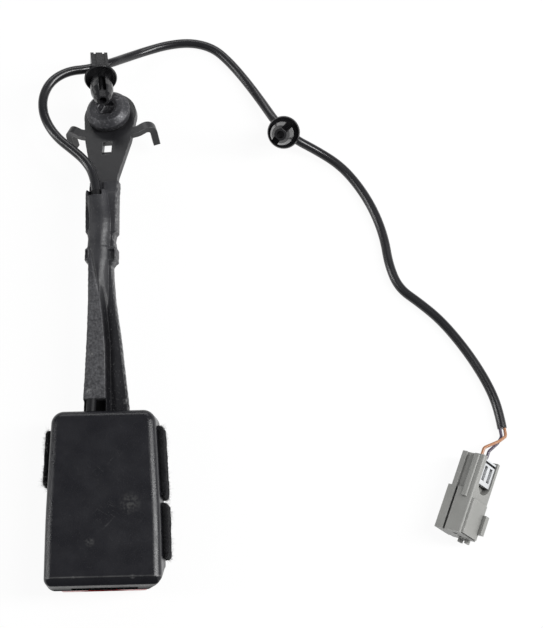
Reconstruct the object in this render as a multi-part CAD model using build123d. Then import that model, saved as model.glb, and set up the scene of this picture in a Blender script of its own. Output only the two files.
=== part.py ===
"""Front seat belt buckle: housing with its latch, anchor strap, bolt, sensor cable and plug.

Millimetres. +Y runs along the strap from the press button to the anchor bolt, +Z is up.
The buckle lies on its front face at Z = 0, and the origin is under the middle of buckle and strap.
"""
from build123d import *
import math
import os

# ---------------------------------------------------------------- housing
HOUSE_HEIGHT = 27.0          # front face to back face
STRAP_END = -34.3            # end that the strap leaves
BUTTON_END = -106.3          # end that the tongue enters
HALF_STRAP_END = 21.8        # half width at the parting line, strap end
HALF_MIDDLE = 23.9           # half width where the sides turn straighter
MIDDLE_Y = -78.0
HALF_BUTTON_END = 24.3       # half width at the parting line, button end
PARTING = 0.46 * HOUSE_HEIGHT    # height of the line between the covers
WALL = 2.2
DRAFT = 4.0                  # degrees, both covers
STRAP_CORNER = 6.0           # plan radius at the strap end
BUTTON_CORNER = 4.0          # plan radius at the plain corner of the button end
CUT_LENGTH = 9.6             # slanting corner of the button end at the parting line
CUT_WIDTH = 7.0              # and across it; it runs out at the back face's corner
CUT_LEAN = 0.25              # how far it leans outward for each unit of height
SIDE_ROUND = 500.0           # where the sides turn straighter
BACK_EDGE = 3.4              # round of the back face's edge
FRONT_EDGE = 2.6             # round of the front face's edge
BEVEL_LENGTH = 4.0           # sloping lip above the tongue slot
BEVEL_DROP = 3.1
LIP_WALL = 1.0               # locating lip of the front cover
LIP_RISE = 2.0
LIP_GAP = 0.15

FRAME_RIB = 1.6              # ribs that hold the frame, both covers
FRAME_RIB_X = 11.0

# ---------------------------------------------------------------- tongue slot and frame
SWITCH_HEIGHT = 3.0
SWITCH_GAP = 0.8             # between the switch and the back face's wall
FRAME_THICK = 2.4            # base plate
FRAME_UNDER = HOUSE_HEIGHT - WALL - SWITCH_GAP - SWITCH_HEIGHT - FRAME_THICK   # its underside
SLOT_WIDTH = 26.8
SLOT_HIGH = FRAME_UNDER - 0.2
SLOT_LOW = SLOT_HIGH - 5.2
BUTTON_HALF = 17.6           # half width over the button's arms
ARM_THICK = 1.4
ARM_GAP = 0.6                # between an arm and the flange beside it
FLANGE_THICK = 2.2
FLANGE_INSIDE = BUTTON_HALF - ARM_THICK - ARM_GAP - FLANGE_THICK   # centre line to its inner face
FRAME_FRONT = -97.0
FRAME_REAR = -43.0
FLANGE_FRONT = -86.5         # front edge of a flange beside the button
WINDOW_WIDTH = 13.2          # the latch tooth's window in the base plate
WINDOW_FRONT = -92.6
WINDOW_REAR = -85.6

# ---------------------------------------------------------------- latch work
PIVOT_Y = -60.0
PIN_RADIUS = 1.5
PIN_GAP = 0.05               # running clearance on the pivot pin
HUB_RADIUS = 2.9
LOCK_BAR_RADIUS = 1.5
BAR_GAP = 0.25               # round the lock bar in the frame's slots
BAR_TO_LATCH = 0.3
ARM_HEIGHT = 4.0
SPRING_WIRE = 0.6
EJECTOR_SPRING_RADIUS = 1.6
# heights from the front face up: the room left over is shared between arms, hub and spring
HUB_ABOVE_LATCH = 2.0        # pivot's middle above the latch plate's underside
SPRING_OVER = 2 * EJECTOR_SPRING_RADIUS + SPRING_WIRE
WORK_HIGH = ARM_HEIGHT / 2 + LOCK_BAR_RADIUS + BAR_TO_LATCH + HUB_ABOVE_LATCH + HUB_RADIUS + SPRING_OVER
SPARE = FRAME_UNDER - WALL - WORK_HIGH
ARM_LOW = WALL + 0.56 * SPARE
ARM_HIGH = ARM_LOW + ARM_HEIGHT
LOCK_BAR_Z = ARM_LOW + ARM_HEIGHT / 2
LATCH_LOW = LOCK_BAR_Z + LOCK_BAR_RADIUS + BAR_TO_LATCH
LATCH_HIGH = LATCH_LOW + 2.4
PIVOT_Z = LATCH_LOW + HUB_ABOVE_LATCH
FLANGE_LOW = (WALL + LOCK_BAR_Z - LOCK_BAR_RADIUS - BAR_GAP) / 2   # lower edge of a flange
LATCH_HALF = FLANGE_INSIDE - 3.0
LATCH_FRONT = -92.0
TOOTH_BACK = -88.3
TOOTH_HIGH = LATCH_LOW + 4.8
TOOTH_HALF = 6.0
LATCH_OPEN_HALF = LATCH_HALF - 2.0   # half width of the latch's inner opening
LATCH_OPEN_FRONT = -85.5
LATCH_OPEN_REAR = -65.0
EJECTOR_HALF = 7.8
EJECTOR_REAR = -78.0
EJECTOR_HIGH = FRAME_UNDER - 0.3
EJECTOR_LOW = TOOTH_HIGH + 0.5
EJECTOR_NOSE = -93.9
NOSE_LOW = EJECTOR_HIGH - 0.9
WING_LOW = EJECTOR_HIGH - 1.4    # guide wings of the ejector, under the base plate
WING_GAP = 0.3
BUTTON_TRAVEL = 6.0

# ---------------------------------------------------------------- press button
BUTTON_FACE = BUTTON_END + 0.4
BUTTON_LEFT = -20.4          # the thumb face's ends; the slanting corner shortens the right one
BUTTON_RIGHT = 16.9
BUTTON_LOW = 0.5
BUTTON_HIGH = PARTING - 0.4
BUTTON_REAR = -94.0
BUTTON_WALL = 2.2
BUTTON_FACE_WALL = 2.7
BUTTON_EDGE = 1.1
DISH_RADIUS = 90.0           # hollow for the thumb
DISH_DEEP = 0.5
DISH_RIM = 1.6
BUTTON_GAP = 0.6             # round the button in the covers
ARM_END = -67.0
LOCK_BAR_Y = -70.0

# ---------------------------------------------------------------- springs, switch, rivet
COIL_STEPS = 10              # straight lengths in each turn of a coil
EJECTOR_SPRING_Z = FRAME_UNDER - SPRING_OVER / 2 - 0.18 * SPARE
EJECTOR_SPRING_TURNS = 7
BUTTON_SPRING_RADIUS = 1.5
BUTTON_SPRING_Z = (BUTTON_LOW + BUTTON_WALL + LATCH_LOW) / 2
BUTTON_SPRING_TURNS = 7
LATCH_SPRING_TURNS = 3
LATCH_SPRING_GAP = 0.2       # beside the latch and beside the flange
SPRING_STOP_Y = -86.0
SPRING_STOP_THICK = 1.6
SPRING_STOP_HALF = 4.0
SPRING_STOP_HIGH = LATCH_LOW - 1.2
SWITCH_WIDTH = 12.0
SWITCH_LENGTH = 14.0
SWITCH_FRONT = -84.0
RIVET_Y = -49.6
RIVET_RADIUS = 4.0
RIVET_HEAD = 6.0
RIVET_HEAD_HIGH = 1.7
WIRE_RADIUS = 0.65
WIRE_START_X = -4.0          # middle of the pair at the switch
WIRE_PASS_X = -8.3           # and beside the rivet
WIRE_PITCH = 1.8
WIRE_END_GAP = 0.15          # before the jacket's leaning end

# ---------------------------------------------------------------- felt pads
FELT_THICK = 2.5
FELT_LOW = 5.0
FELT_HIGH = 20.5
FELT_CORNER = 2.0
FELT_LEFT = (-64.6, -41.6)           # ends along the housing
FELT_RIGHT_UPPER = (-70.4, -40.6)
FELT_RIGHT_LOWER = (-94.6, -72.4)

# ---------------------------------------------------------------- strap and anchor plate
STRAP_THICK = 3.0
STRAP_FRONT = -58.5          # the strap's end inside the frame
STRAP_TAIL_Z = FRAME_UNDER - STRAP_THICK / 2
# stations along the strap: Y, X of the middle, Z of the middle, width, roll in degrees
STRAP_STATIONS = [
    (STRAP_FRONT, 0.0, STRAP_TAIL_Z, 16.0, 0.0),
    (-38.0, 0.2, STRAP_TAIL_Z, 14.5, 0.0),
    (-19.0, 0.5, 18.3, 11.5, 1.0),
    (0.0, 0.1, 19.8, 9.0, 2.5),
    (22.0, -0.9, 21.5, 7.0, 5.0),
    (44.0, -1.1, 23.2, 9.6, 8.0),
    (62.0, 0.0, 23.5, 11.6, 8.7),
]
PLATE_X = 1.7                # middle of the bolt hole
PLATE_Y = 96.6
PLATE_Z = 16.0
PLATE_PITCH = 12.5           # degrees, the far end hangs lower
PLATE_ROLL = 8.7             # degrees, the right side stands higher
PLATE_YAW = -3.0             # degrees, the far end leans right
PLATE_RADIUS = 11.5
PLATE_NECK_HALF = 5.8
PLATE_NECK_V = -35.5
PLATE_HOLE = 6.0
SLOT_V = -17.0               # middle of the small slot, from the bolt hole
SLOT_W = 4.0
SLOT_L = 6.4
EAR_WIDTH = 3.6
EAR_REACH = 18.4
EAR_ROOT_V = -9.4
EAR_KNEE = 12.6              # where the arm turns upward
EAR_KNEE_V = -8.2
EAR_TIP_V = -4.6
EAR_DROP = 10.5
EAR_SWEEP = 2.6              # how far the tip leans back
EAR_ARC = 6.0
EAR_BEND = 2.0

# ---------------------------------------------------------------- bolt
BOLT_RADIUS = 5.5
SHOULDER_RADIUS = 5.92       # turns in the plate's hole
BOLT_HEAD_RADIUS = 9.5
BOLT_FLAT_RADIUS = 7.4
BOLT_HEAD_LOW = 3.0          # above the plate's middle
BOLT_HEAD_HIGH = 8.2
BOLT_TIP = -15.4
BOLT_TIP_CHAMFER = 1.2
SOCKET_FLATS = 7.0
SOCKET_DEEP = 4.2
SHOULDER_LOW = -2.9
WAVE_OUT = 8.6
WAVE_THICK = 0.7
WASHER_OUT = 8.2
WASHER_THICK = 1.0

# ---------------------------------------------------------------- sleeve
SLEEVE_FRONT = -39.0
SLEEVE_UNDER = 2.9           # strap middle down to the sleeve's underside
SLEEVE_FIT = 0.25            # round the sleeve's foot in the covers
SLEEVE_FOOT_HIGH = 6.0       # foot's top above the strap's middle, inside the opening
TUNNEL_FRONT = -29.8         # the wire tunnel stops short of the housing
# stations: Y, left edge, right edge, ridge X, tunnel top above the strap's middle
SLEEVE_STATIONS = [
    (-39.0, -8.9, 10.1, 0.4, 6.9),
    (-20.0, -7.5, 8.5, 0.3, 6.9),
    (-1.5, -6.3, 6.4, -0.2, 6.8),
    (14.0, -5.9, 4.4, -0.9, 6.7),
    (24.5, -5.6, 3.7, -0.9, 6.6),
    (37.2, -6.1, 3.5, -0.3, 6.4),
]
MOUTH_STATIONS = [
    (37.2, -6.1, 3.5, -0.3, 6.4),
    (43.0, -7.0, 4.6, 0.5, 6.6),
    (50.0, -6.9, 5.0, 1.0, 6.7),
    (58.6, -6.6, 5.4, 1.4, 6.6),
]
COLLAR = (26.4, 34.4, 6.3)   # from, to, half width
COLLAR_POCKET = (2.3, 5.6)   # shallow pocket on its right lobe, from the strap's middle
COLLAR_HIGH = 3.9
SOCKET = (40.6, 57.4, 6.6)
LIP_END = 63.6
LIP_HALF = 6.0
SIDE_POCKET = 1.3            # depth of the socket's and collar's side pockets
SLEEVE_FLANGE = 1.4          # inner flange that the housing holds

# ---------------------------------------------------------------- sensor cable
CABLE_RADIUS = 2.0
LEAD_START = -42.0
LEAD_ABOVE = 3.75            # lead's middle above the strap's middle
LEAD_X = [(-42.0, -6.0), (-10.0, -3.8), (22.0, -3.0), (46.0, -1.5), (59.0, -3.2)]
CABLE_POINTS = [
    (-3.2, 59.0, 27.2),
    (-4.115, 66.0, 27.317),
    (-8.0, 72.6, 27.0),
    (-13.5, 77.8, 26.6),
    (-19.2, 82.7, 26.3),
    (-23.6, 88.5, 26.0),
    (-26.5, 95.4, 25.6),
    (-26.8, 103.2, 25.1),
    (-23.5, 110.8, 24.2),
    (-16.4, 115.9, 22.7),
    (-7.3, 117.5, 20.8),
    (1.1, 121.7, 17.0),
    (7.4, 127.5, 9.7),
    (15.6, 133.2, 3.8),
    (25.8, 137.0, 2.0),
    (36.5, 137.9, 2.0),
    (46.3, 134.9, 2.1),
    (53.3, 128.2, 2.0),
    (60.8, 118.4, 2.1),
    (68.0, 106.8, 3.8),
    (73.9, 95.3, 8.1),
    (81.5, 87.7, 8.2),
    (91.2, 83.7, 4.2),
    (101.6, 77.2, 2.1),
    (109.4, 67.4, 2.0),
    (115.6, 55.8, 2.1),
    (119.6, 43.2, 2.0),
    (121.0, 30.8, 2.1),
    (124.8, 20.2, 2.0),
    (133.4, 13.4, 2.1),
    (141.6, 6.0, 2.0),
    (149.0, -3.4, 2.1),
    (155.8, -13.8, 2.0),
    (161.4, -24.8, 2.1),
    (164.6, -34.6, 2.0),
    (165.5, -42.4, 2.3),
]

# ---------------------------------------------------------------- cable clips
CLIP_DISC_RADIUS = 7.1
CLIP_DISC_THICK = 0.9
CLIP_DISC_DEEP = 2.2         # depth of the umbrella
CLIP_STEM_RADIUS = 1.7
CLIP_HEAD_RADIUS = 5.0
CLIP_HEAD_LENGTH = 15.5
TIE_WALL = 2.2
TIE_GAP = 0.45               # round the cable in the band
TIE_BODY = (7.4, 6.2)        # the block round the cable: along the cable, and across
TIE_BACK = 7.0               # its end behind the cable's middle

# for each clip: the two route points of its run, its direction, and the neck's length
FIRST_CLIP = (10, 11, (0.12, -0.84, 0.53), 2.4)
SECOND_CLIP = (20, 21, (-0.10, -0.42, 0.90), 2.4)

# ---------------------------------------------------------------- plug
PLUG_X = 149.0
PLUG_Y = -71.4
PLUG_TURN = -21.4            # degrees, its length from +Y
PLUG_ROLL = -36.5            # degrees, right side up
PLUG_LENGTH = 33.6
PLUG_WIDTH = 11.2
PLUG_DEPTH = 14.0
PLUG_WINDOW = 9.6            # width of the side window
PLUG_POCKET = 3.0            # and its depth
PLUG_WAY_X = 1.0
PLUG_WAYS = (-2.2, 2.2)      # heights of the two terminal ways
PLUG_WIRE_IN = 5.0           # how far a wire goes into its way


# ================================================================ helpers
def block(x_low, x_high, y_low, y_high, z_low, z_high):
    """A box between two corners."""
    size = (x_high - x_low, y_high - y_low, z_high - z_low)
    return Pos((x_low + x_high) / 2, (y_low + y_high) / 2, (z_low + z_high) / 2) * Box(*size)


def side_profile(points, x_low, x_high):
    """A closed outline of (Y, Z) points, made into a solid between two X planes."""
    face = make_face(Polyline(*[(x_low, y, z) for y, z in points], close=True))
    return extrude(face, amount=x_high - x_low, dir=(1, 0, 0))


def rod_x(radius, y, z, x_low, x_high):
    """A round bar that runs across, along X."""
    return Plane(origin=(x_low, y, z), z_dir=(1, 0, 0)) * Cylinder(
        radius, x_high - x_low, align=(Align.CENTER, Align.CENTER, Align.MIN)
    )


def tube(points, radius, radii):
    """A round bar along straight runs joined by tangent arcs."""
    path = FilletPolyline(*points, radius=radii) if len(points) > 2 else Polyline(*points)
    start = Plane(origin=path @ 0, z_dir=path % 0)
    return sweep(start * Circle(radius), path=path), path


def cord_radii(points):
    """For each corner: 0.45 of the shorter run, over the tangent of half the turn."""
    radii = []
    for before, corner, after in zip(points, points[1:], points[2:]):
        run_in = Vector(*corner) - Vector(*before)
        run_out = Vector(*after) - Vector(*corner)
        half_turn = math.radians(run_in.get_angle(run_out)) / 2
        radii.append(0.45 * min(run_in.length, run_out.length) / math.tan(half_turn))
    return radii


def coil(radius, height, turns):
    """A coil of spring wire round +Z, as short straight lengths of six-sided wire."""
    steps = turns * COIL_STEPS
    points = []
    for step in range(steps + 1):
        angle = 2 * math.pi * step / COIL_STEPS
        points.append((radius * math.cos(angle), radius * math.sin(angle), height * step / steps))
    path = Polyline(*points)
    section = Plane(origin=path @ 0, z_dir=path % 0) * RegularPolygon(SPRING_WIRE / 2, 6)
    return sweep(section, path=path, transition=Transition.RIGHT)


def spring_y(radius, y_low, y_high, x, z, turns):
    """A coil spring along Y between two faces."""
    spring = coil(radius, y_high - y_low - 2 * SPRING_WIRE, turns)
    start = Plane(origin=(x, y_low + SPRING_WIRE, z), x_dir=(1, 0, 0), z_dir=(0, 1, 0))
    return start.location * spring


# ================================================================ housing
def housing_plan(grow=0.0):
    """Plan of the housing: wider at the button end, with rounded corners."""
    corners = [
        (-HALF_BUTTON_END, BUTTON_END),
        (HALF_BUTTON_END, BUTTON_END),
        (HALF_MIDDLE, MIDDLE_Y),
        (HALF_STRAP_END, STRAP_END),
        (-HALF_STRAP_END, STRAP_END),
        (-HALF_MIDDLE, MIDDLE_Y),
    ]
    radii = [BUTTON_CORNER, BUTTON_CORNER, SIDE_ROUND, STRAP_CORNER, STRAP_CORNER, SIDE_ROUND]
    plan = Sketch() + make_face(Polyline(*corners, close=True))
    for corner, radius in zip(corners, radii):
        vertex = plan.vertices().sort_by_distance((*corner, 0))[0]
        plan = fillet(vertex, radius)
    if grow:
        plan = offset(plan, grow)
    return plan


def corner_cut(lean, grow):
    """The wedge off the slanting corner, standing on the parting line and leaning outward."""
    outward = Vector(CUT_LENGTH, -CUT_WIDTH, 0).normalized()
    foot = Vector(HALF_BUTTON_END, BUTTON_END + CUT_LENGTH, PARTING) + outward * grow
    face = Plane(origin=foot, x_dir=(CUT_WIDTH, CUT_LENGTH, 0), z_dir=outward - Vector(0, 0, lean))
    return face * block(-HOUSE_HEIGHT, HOUSE_HEIGHT, -HOUSE_HEIGHT, HOUSE_HEIGHT, 0, HOUSE_HEIGHT)


def cover_block(face_z, grow=0.0, edge=0.0):
    """One cover's outer or inner block, drafted from the parting line to its face."""
    plan = Plane.XY.offset(PARTING) * housing_plan(grow)
    body = extrude(plan, amount=face_z - PARTING, taper=DRAFT)
    if edge:
        face = body.faces().sort_by(Axis.Z)[-1 if face_z > PARTING else 0]
        body = fillet(face.edges(), edge)
    lean = CUT_LEAN if face_z > PARTING else math.tan(math.radians(DRAFT))
    return body - corner_cut(lean, grow)


def strap_opening(grow=0.0):
    """The hole in the strap end that the sleeve's foot fills."""
    _, left, right, _, _ = SLEEVE_STATIONS[0]
    middle = STRAP_STATIONS[1][2]
    return block(left - grow, right + grow, STRAP_END - 2 * WALL, STRAP_END + 1,
                 PARTING, middle + SLEEVE_FOOT_HIGH + grow)


def rear_cover():
    """Back shell: drafted, rounded, with the sloping lip and the tongue slot under it."""
    shell = cover_block(HOUSE_HEIGHT, edge=BACK_EDGE)
    lip_slope = BEVEL_DROP / BEVEL_LENGTH
    shell -= side_profile(
        [
            (BUTTON_END + BEVEL_LENGTH, HOUSE_HEIGHT),
            (BUTTON_END - 1, HOUSE_HEIGHT - BEVEL_DROP - lip_slope),
            (BUTTON_END - 1, HOUSE_HEIGHT + 1),
            (BUTTON_END + BEVEL_LENGTH, HOUSE_HEIGHT + 1),
        ],
        -2 * HALF_BUTTON_END, 2 * HALF_BUTTON_END,
    )
    shell -= cover_block(HOUSE_HEIGHT - WALL, grow=-WALL, edge=BACK_EDGE - WALL + 0.4)
    shell -= block(-SLOT_WIDTH / 2, SLOT_WIDTH / 2, BUTTON_END - 1, BUTTON_END + 2 * WALL,
                   SLOT_LOW, SLOT_HIGH)
    shell -= strap_opening(SLEEVE_FIT)
    for side in (-1, 1):
        rib = side * FRAME_RIB_X
        shell += block(rib - FRAME_RIB / 2, rib + FRAME_RIB / 2, FRAME_FRONT + 4, FRAME_REAR - 1,
                       FRAME_UNDER + FRAME_THICK, HOUSE_HEIGHT - WALL + 0.5)
    return shell


def front_cover():
    """Front shell: floor, walls, locating lip, frame rests, spring stop, open at the button."""
    shell = cover_block(0.0, edge=FRONT_EDGE)
    shell -= cover_block(WALL, grow=-WALL, edge=1.0)
    lip = Plane.XY.offset(PARTING - 1) * (
        housing_plan(-WALL - LIP_GAP) - housing_plan(-WALL - LIP_GAP - LIP_WALL)
    )
    lip = extrude(lip, amount=1 + LIP_RISE)
    lip_foot = Plane.XY.offset(PARTING - 1) * (
        housing_plan(-WALL + 0.3) - housing_plan(-WALL - LIP_GAP - LIP_WALL)
    )
    lip += extrude(lip_foot, amount=1)
    shell += lip - strap_opening(1.5) - block(
        -HALF_BUTTON_END, HALF_BUTTON_END, BUTTON_END - 1, BUTTON_REAR + BUTTON_TRAVEL, 0, HOUSE_HEIGHT
    )
    shell -= block(BUTTON_LEFT - BUTTON_GAP, BUTTON_HALF + BUTTON_GAP, BUTTON_END - 2,
                   BUTTON_REAR + BUTTON_TRAVEL + BUTTON_GAP, -1, HOUSE_HEIGHT)
    for side in (-1, 1):
        rest = side * (FLANGE_INSIDE + FLANGE_THICK / 2)
        shell += block(rest - FRAME_RIB / 2, rest + FRAME_RIB / 2, FLANGE_FRONT + 3, FRAME_REAR - 1,
                       WALL - 0.5, FLANGE_LOW)
    shell += block(-SPRING_STOP_HALF, SPRING_STOP_HALF, SPRING_STOP_Y, SPRING_STOP_Y + SPRING_STOP_THICK,
                   WALL - 0.5, SPRING_STOP_HIGH)
    _, left, right, _, _ = SLEEVE_STATIONS[0]
    saddle_top = STRAP_STATIONS[1][2] - SLEEVE_UNDER - SLEEVE_FIT
    shell += block(left, right, STRAP_END - WALL, STRAP_END - 0.4, PARTING - 1, saddle_top)
    return shell


def press_button():
    """Red tray with a thumb face, open towards the latch, with two arms that carry the lock bar."""
    tray = block(BUTTON_LEFT, BUTTON_RIGHT, BUTTON_FACE, BUTTON_REAR, BUTTON_LOW, BUTTON_HIGH)
    tray = fillet(tray.edges().filter_by(Axis.Z).group_by(Axis.Y)[0], 2 * BUTTON_EDGE + 0.2)
    tray = fillet(tray.faces().sort_by(Axis.Y)[0].edges(), BUTTON_EDGE)
    middle = (BUTTON_LEFT + BUTTON_RIGHT) / 2
    dish = Pos(middle, BUTTON_FACE + DISH_DEEP - DISH_RADIUS, 0) * Cylinder(DISH_RADIUS, 3 * BUTTON_HIGH)
    tray -= dish & block(BUTTON_LEFT, BUTTON_RIGHT, BUTTON_FACE - 2, BUTTON_FACE + 2,
                         BUTTON_LOW + DISH_RIM, BUTTON_HIGH - DISH_RIM)
    tray -= block(BUTTON_LEFT + BUTTON_WALL, BUTTON_RIGHT - BUTTON_WALL, BUTTON_FACE + BUTTON_FACE_WALL,
                  BUTTON_REAR + 1, BUTTON_LOW + BUTTON_WALL, BUTTON_HIGH + 1)
    for side in (-1, 1):
        outer = side * BUTTON_HALF
        x_low, x_high = sorted((outer, outer - side * ARM_THICK))
        arm = block(x_low, x_high, BUTTON_FACE + BUTTON_FACE_WALL / 2, ARM_END, ARM_LOW, ARM_HIGH)
        arm = fillet(arm.edges().filter_by(Axis.X).group_by(Axis.Y)[-1], 1.2)
        tray += arm - rod_x(LOCK_BAR_RADIUS, LOCK_BAR_Y, LOCK_BAR_Z, -BUTTON_HALF - 1, BUTTON_HALF + 1)
    return tray


def lock_bar():
    """Round bar across the frame, carried by the button's arms."""
    bar = rod_x(LOCK_BAR_RADIUS, LOCK_BAR_Y, LOCK_BAR_Z, -BUTTON_HALF - 0.4, BUTTON_HALF + 0.4)
    return chamfer(bar.edges(), 0.35)


# ================================================================ frame and latch
def buckle_frame():
    """Folded steel channel: base plate with the tooth window, two flanges with slots and pin holes."""
    outside = FLANGE_INSIDE + FLANGE_THICK
    plate_top = FRAME_UNDER + FRAME_THICK
    frame = block(-outside, outside, FRAME_FRONT, FRAME_REAR, FRAME_UNDER, plate_top)
    for side in (-1, 1):
        x_low, x_high = sorted((side * FLANGE_INSIDE, side * outside))
        frame += side_profile(
            [
                (FRAME_FRONT, FRAME_UNDER + 0.5),
                (FRAME_FRONT, BUTTON_HIGH + BUTTON_GAP),
                (FLANGE_FRONT, BUTTON_HIGH + BUTTON_GAP),
                (FLANGE_FRONT, FLANGE_LOW + 2),
                (FLANGE_FRONT + 2, FLANGE_LOW),
                (PIVOT_Y + 6, FLANGE_LOW),
                (FRAME_REAR, FLANGE_LOW + 5),
                (FRAME_REAR, FRAME_UNDER + 0.5),
            ],
            x_low, x_high,
        )
    long_edges = frame.edges().filter_by(Axis.Y).filter_by_position(Axis.Z, plate_top - 0.1, plate_top + 0.1)
    frame = fillet(long_edges, 1.8)
    frame -= block(-WINDOW_WIDTH / 2, WINDOW_WIDTH / 2, WINDOW_FRONT, WINDOW_REAR,
                   FRAME_UNDER - 1, plate_top + 1)
    slot = LOCK_BAR_RADIUS + BAR_GAP
    for y in (LOCK_BAR_Y, LOCK_BAR_Y + BUTTON_TRAVEL):
        frame -= rod_x(slot, y, LOCK_BAR_Z, -outside - 1, outside + 1)
    frame -= block(-outside - 1, outside + 1, LOCK_BAR_Y, LOCK_BAR_Y + BUTTON_TRAVEL,
                   LOCK_BAR_Z - slot, LOCK_BAR_Z + slot)
    frame -= rod_x(PIN_RADIUS, PIVOT_Y, PIVOT_Z, -outside - 1, outside + 1)
    frame -= Pos(0, RIVET_Y, FRAME_UNDER) * Cylinder(RIVET_RADIUS, 4 * FRAME_THICK)
    return frame


def latch():
    """Steel latch: hub on the pivot pin, two side arms, and a crossbar with the tooth."""
    plate = block(-LATCH_HALF, LATCH_HALF, LATCH_FRONT, PIVOT_Y, LATCH_LOW, LATCH_HIGH)
    plate -= block(-LATCH_OPEN_HALF, LATCH_OPEN_HALF, LATCH_OPEN_FRONT, LATCH_OPEN_REAR,
                   LATCH_LOW - 1, LATCH_HIGH + 1)
    plate += rod_x(HUB_RADIUS, PIVOT_Y, PIVOT_Z, -LATCH_HALF, LATCH_HALF)
    plate += side_profile(
        [
            (LATCH_FRONT, LATCH_LOW),
            (TOOTH_BACK, LATCH_LOW),
            (TOOTH_BACK, TOOTH_HIGH),
            (LATCH_FRONT + 1.6, TOOTH_HIGH),
            (LATCH_FRONT, TOOTH_HIGH - 1.6),
        ],
        -TOOTH_HALF, TOOTH_HALF,
    )
    return plate - rod_x(PIN_RADIUS + PIN_GAP, PIVOT_Y, PIVOT_Z, -2 * LATCH_HALF, 2 * LATCH_HALF)


def latch_pin():
    """Pivot pin through both flanges, with upset ends."""
    outside = FLANGE_INSIDE + FLANGE_THICK
    pin = rod_x(PIN_RADIUS, PIVOT_Y, PIVOT_Z, -outside, outside)
    for side in (-1, 1):
        x_low, x_high = sorted((side * outside, side * (outside + 0.5)))
        pin += rod_x(PIN_RADIUS + 0.4, PIVOT_Y, PIVOT_Z, x_low, x_high)
    return pin


def ejector():
    """Plastic slide with a ramped nose over the latch tooth, and thin guide wings."""
    body = side_profile(
        [
            (EJECTOR_NOSE, EJECTOR_HIGH),
            (EJECTOR_NOSE, NOSE_LOW),
            (TOOTH_BACK, EJECTOR_LOW),
            (EJECTOR_REAR, EJECTOR_LOW),
            (EJECTOR_REAR, EJECTOR_HIGH),
        ],
        -EJECTOR_HALF, EJECTOR_HALF,
    )
    reach = FLANGE_INSIDE - WING_GAP
    body += block(-reach, reach, TOOTH_BACK + 2, EJECTOR_REAR, WING_LOW, EJECTOR_HIGH)
    post = Plane(origin=(0, EJECTOR_REAR, EJECTOR_SPRING_Z), z_dir=(0, 1, 0)) * Cylinder(
        EJECTOR_SPRING_RADIUS - SPRING_WIRE, 2.5, align=(Align.CENTER, Align.CENTER, Align.MIN)
    )
    return body + post


def strap_rivet():
    """Rivet through base plate and strap, a flat head on each side."""
    strap_low = FRAME_UNDER - STRAP_THICK
    plate_top = FRAME_UNDER + FRAME_THICK
    rivet = revolve(
        Plane.XZ * make_face(
            Polyline(
                (0, strap_low - RIVET_HEAD_HIGH), (RIVET_HEAD - 1, strap_low - RIVET_HEAD_HIGH),
                (RIVET_HEAD, strap_low - 0.8), (RIVET_HEAD, strap_low), (RIVET_RADIUS, strap_low),
                (RIVET_RADIUS, plate_top), (RIVET_HEAD, plate_top), (RIVET_HEAD, plate_top + 0.8),
                (RIVET_HEAD - 1, plate_top + RIVET_HEAD_HIGH), (0, plate_top + RIVET_HEAD_HIGH),
                close=True,
            )
        ),
        Axis.Z,
    )
    return Pos(0, RIVET_Y, 0) * rivet


def latch_spring():
    """Torsion spring: a close coil round the pivot pin, between the latch and a flange."""
    room = FLANGE_INSIDE - LATCH_HALF - SPRING_WIRE - 2 * LATCH_SPRING_GAP
    spring = coil(HUB_RADIUS - SPRING_WIRE, room, LATCH_SPRING_TURNS)
    start_x = LATCH_HALF + LATCH_SPRING_GAP + SPRING_WIRE / 2
    side = Plane(origin=(start_x, PIVOT_Y, PIVOT_Z), x_dir=(0, 1, 0), z_dir=(1, 0, 0))
    return side.location * spring


def buckle_switch():
    """Flat switch on the base plate, with a snap foot each side."""
    low = FRAME_UNDER + FRAME_THICK
    rear = SWITCH_FRONT + SWITCH_LENGTH
    body = block(-SWITCH_WIDTH / 2, SWITCH_WIDTH / 2, SWITCH_FRONT, rear, low, low + SWITCH_HEIGHT)
    body = chamfer(body.faces().sort_by(Axis.Z)[-1].edges(), 0.6)
    body += block(-SWITCH_WIDTH / 2 - 1.2, SWITCH_WIDTH / 2 + 1.2, SWITCH_FRONT + 5, rear - 5, low, low + 1.0)
    return body


def switch_wires():
    """Two wires over the base plate, from the switch past the rivet to the lead's jacket."""
    switch_rear = SWITCH_FRONT + SWITCH_LENGTH
    height = FRAME_UNDER + FRAME_THICK + WIRE_RADIUS + 0.05
    wires = []
    for side in (-1, 1):
        start_x = WIRE_START_X + side * WIRE_PITCH / 2
        pass_x = WIRE_PASS_X + side * WIRE_PITCH / 2
        end_x = LEAD_X[0][1] + side * (WIRE_RADIUS + 0.05)
        points = [
            (start_x, switch_rear, height),
            (start_x, switch_rear + 3, height),
            (pass_x, switch_rear + 10, height),
            (pass_x, RIVET_Y + 2.0, height),
            (end_x, LEAD_START - 2.5, height),
            (end_x, LEAD_START - WIRE_END_GAP, height),
        ]
        wires.append(tube(points, WIRE_RADIUS, cord_radii(points))[0])
    return wires


# ================================================================ felt pads
def felt_pad(side, ends):
    """A strip of felt on one side wall, following its slope."""
    grown = cover_block(HOUSE_HEIGHT, FELT_THICK) + cover_block(0.0, FELT_THICK)
    wall = cover_block(HOUSE_HEIGHT) + cover_block(0.0)
    x_low, x_high = sorted((side * HALF_STRAP_END * 0.8, side * HALF_BUTTON_END * 1.4))
    area = block(x_low, x_high, ends[0], ends[1], FELT_LOW, FELT_HIGH)
    area = fillet(area.edges().filter_by(Axis.X), FELT_CORNER)
    return (grown & area) - wall


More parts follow.
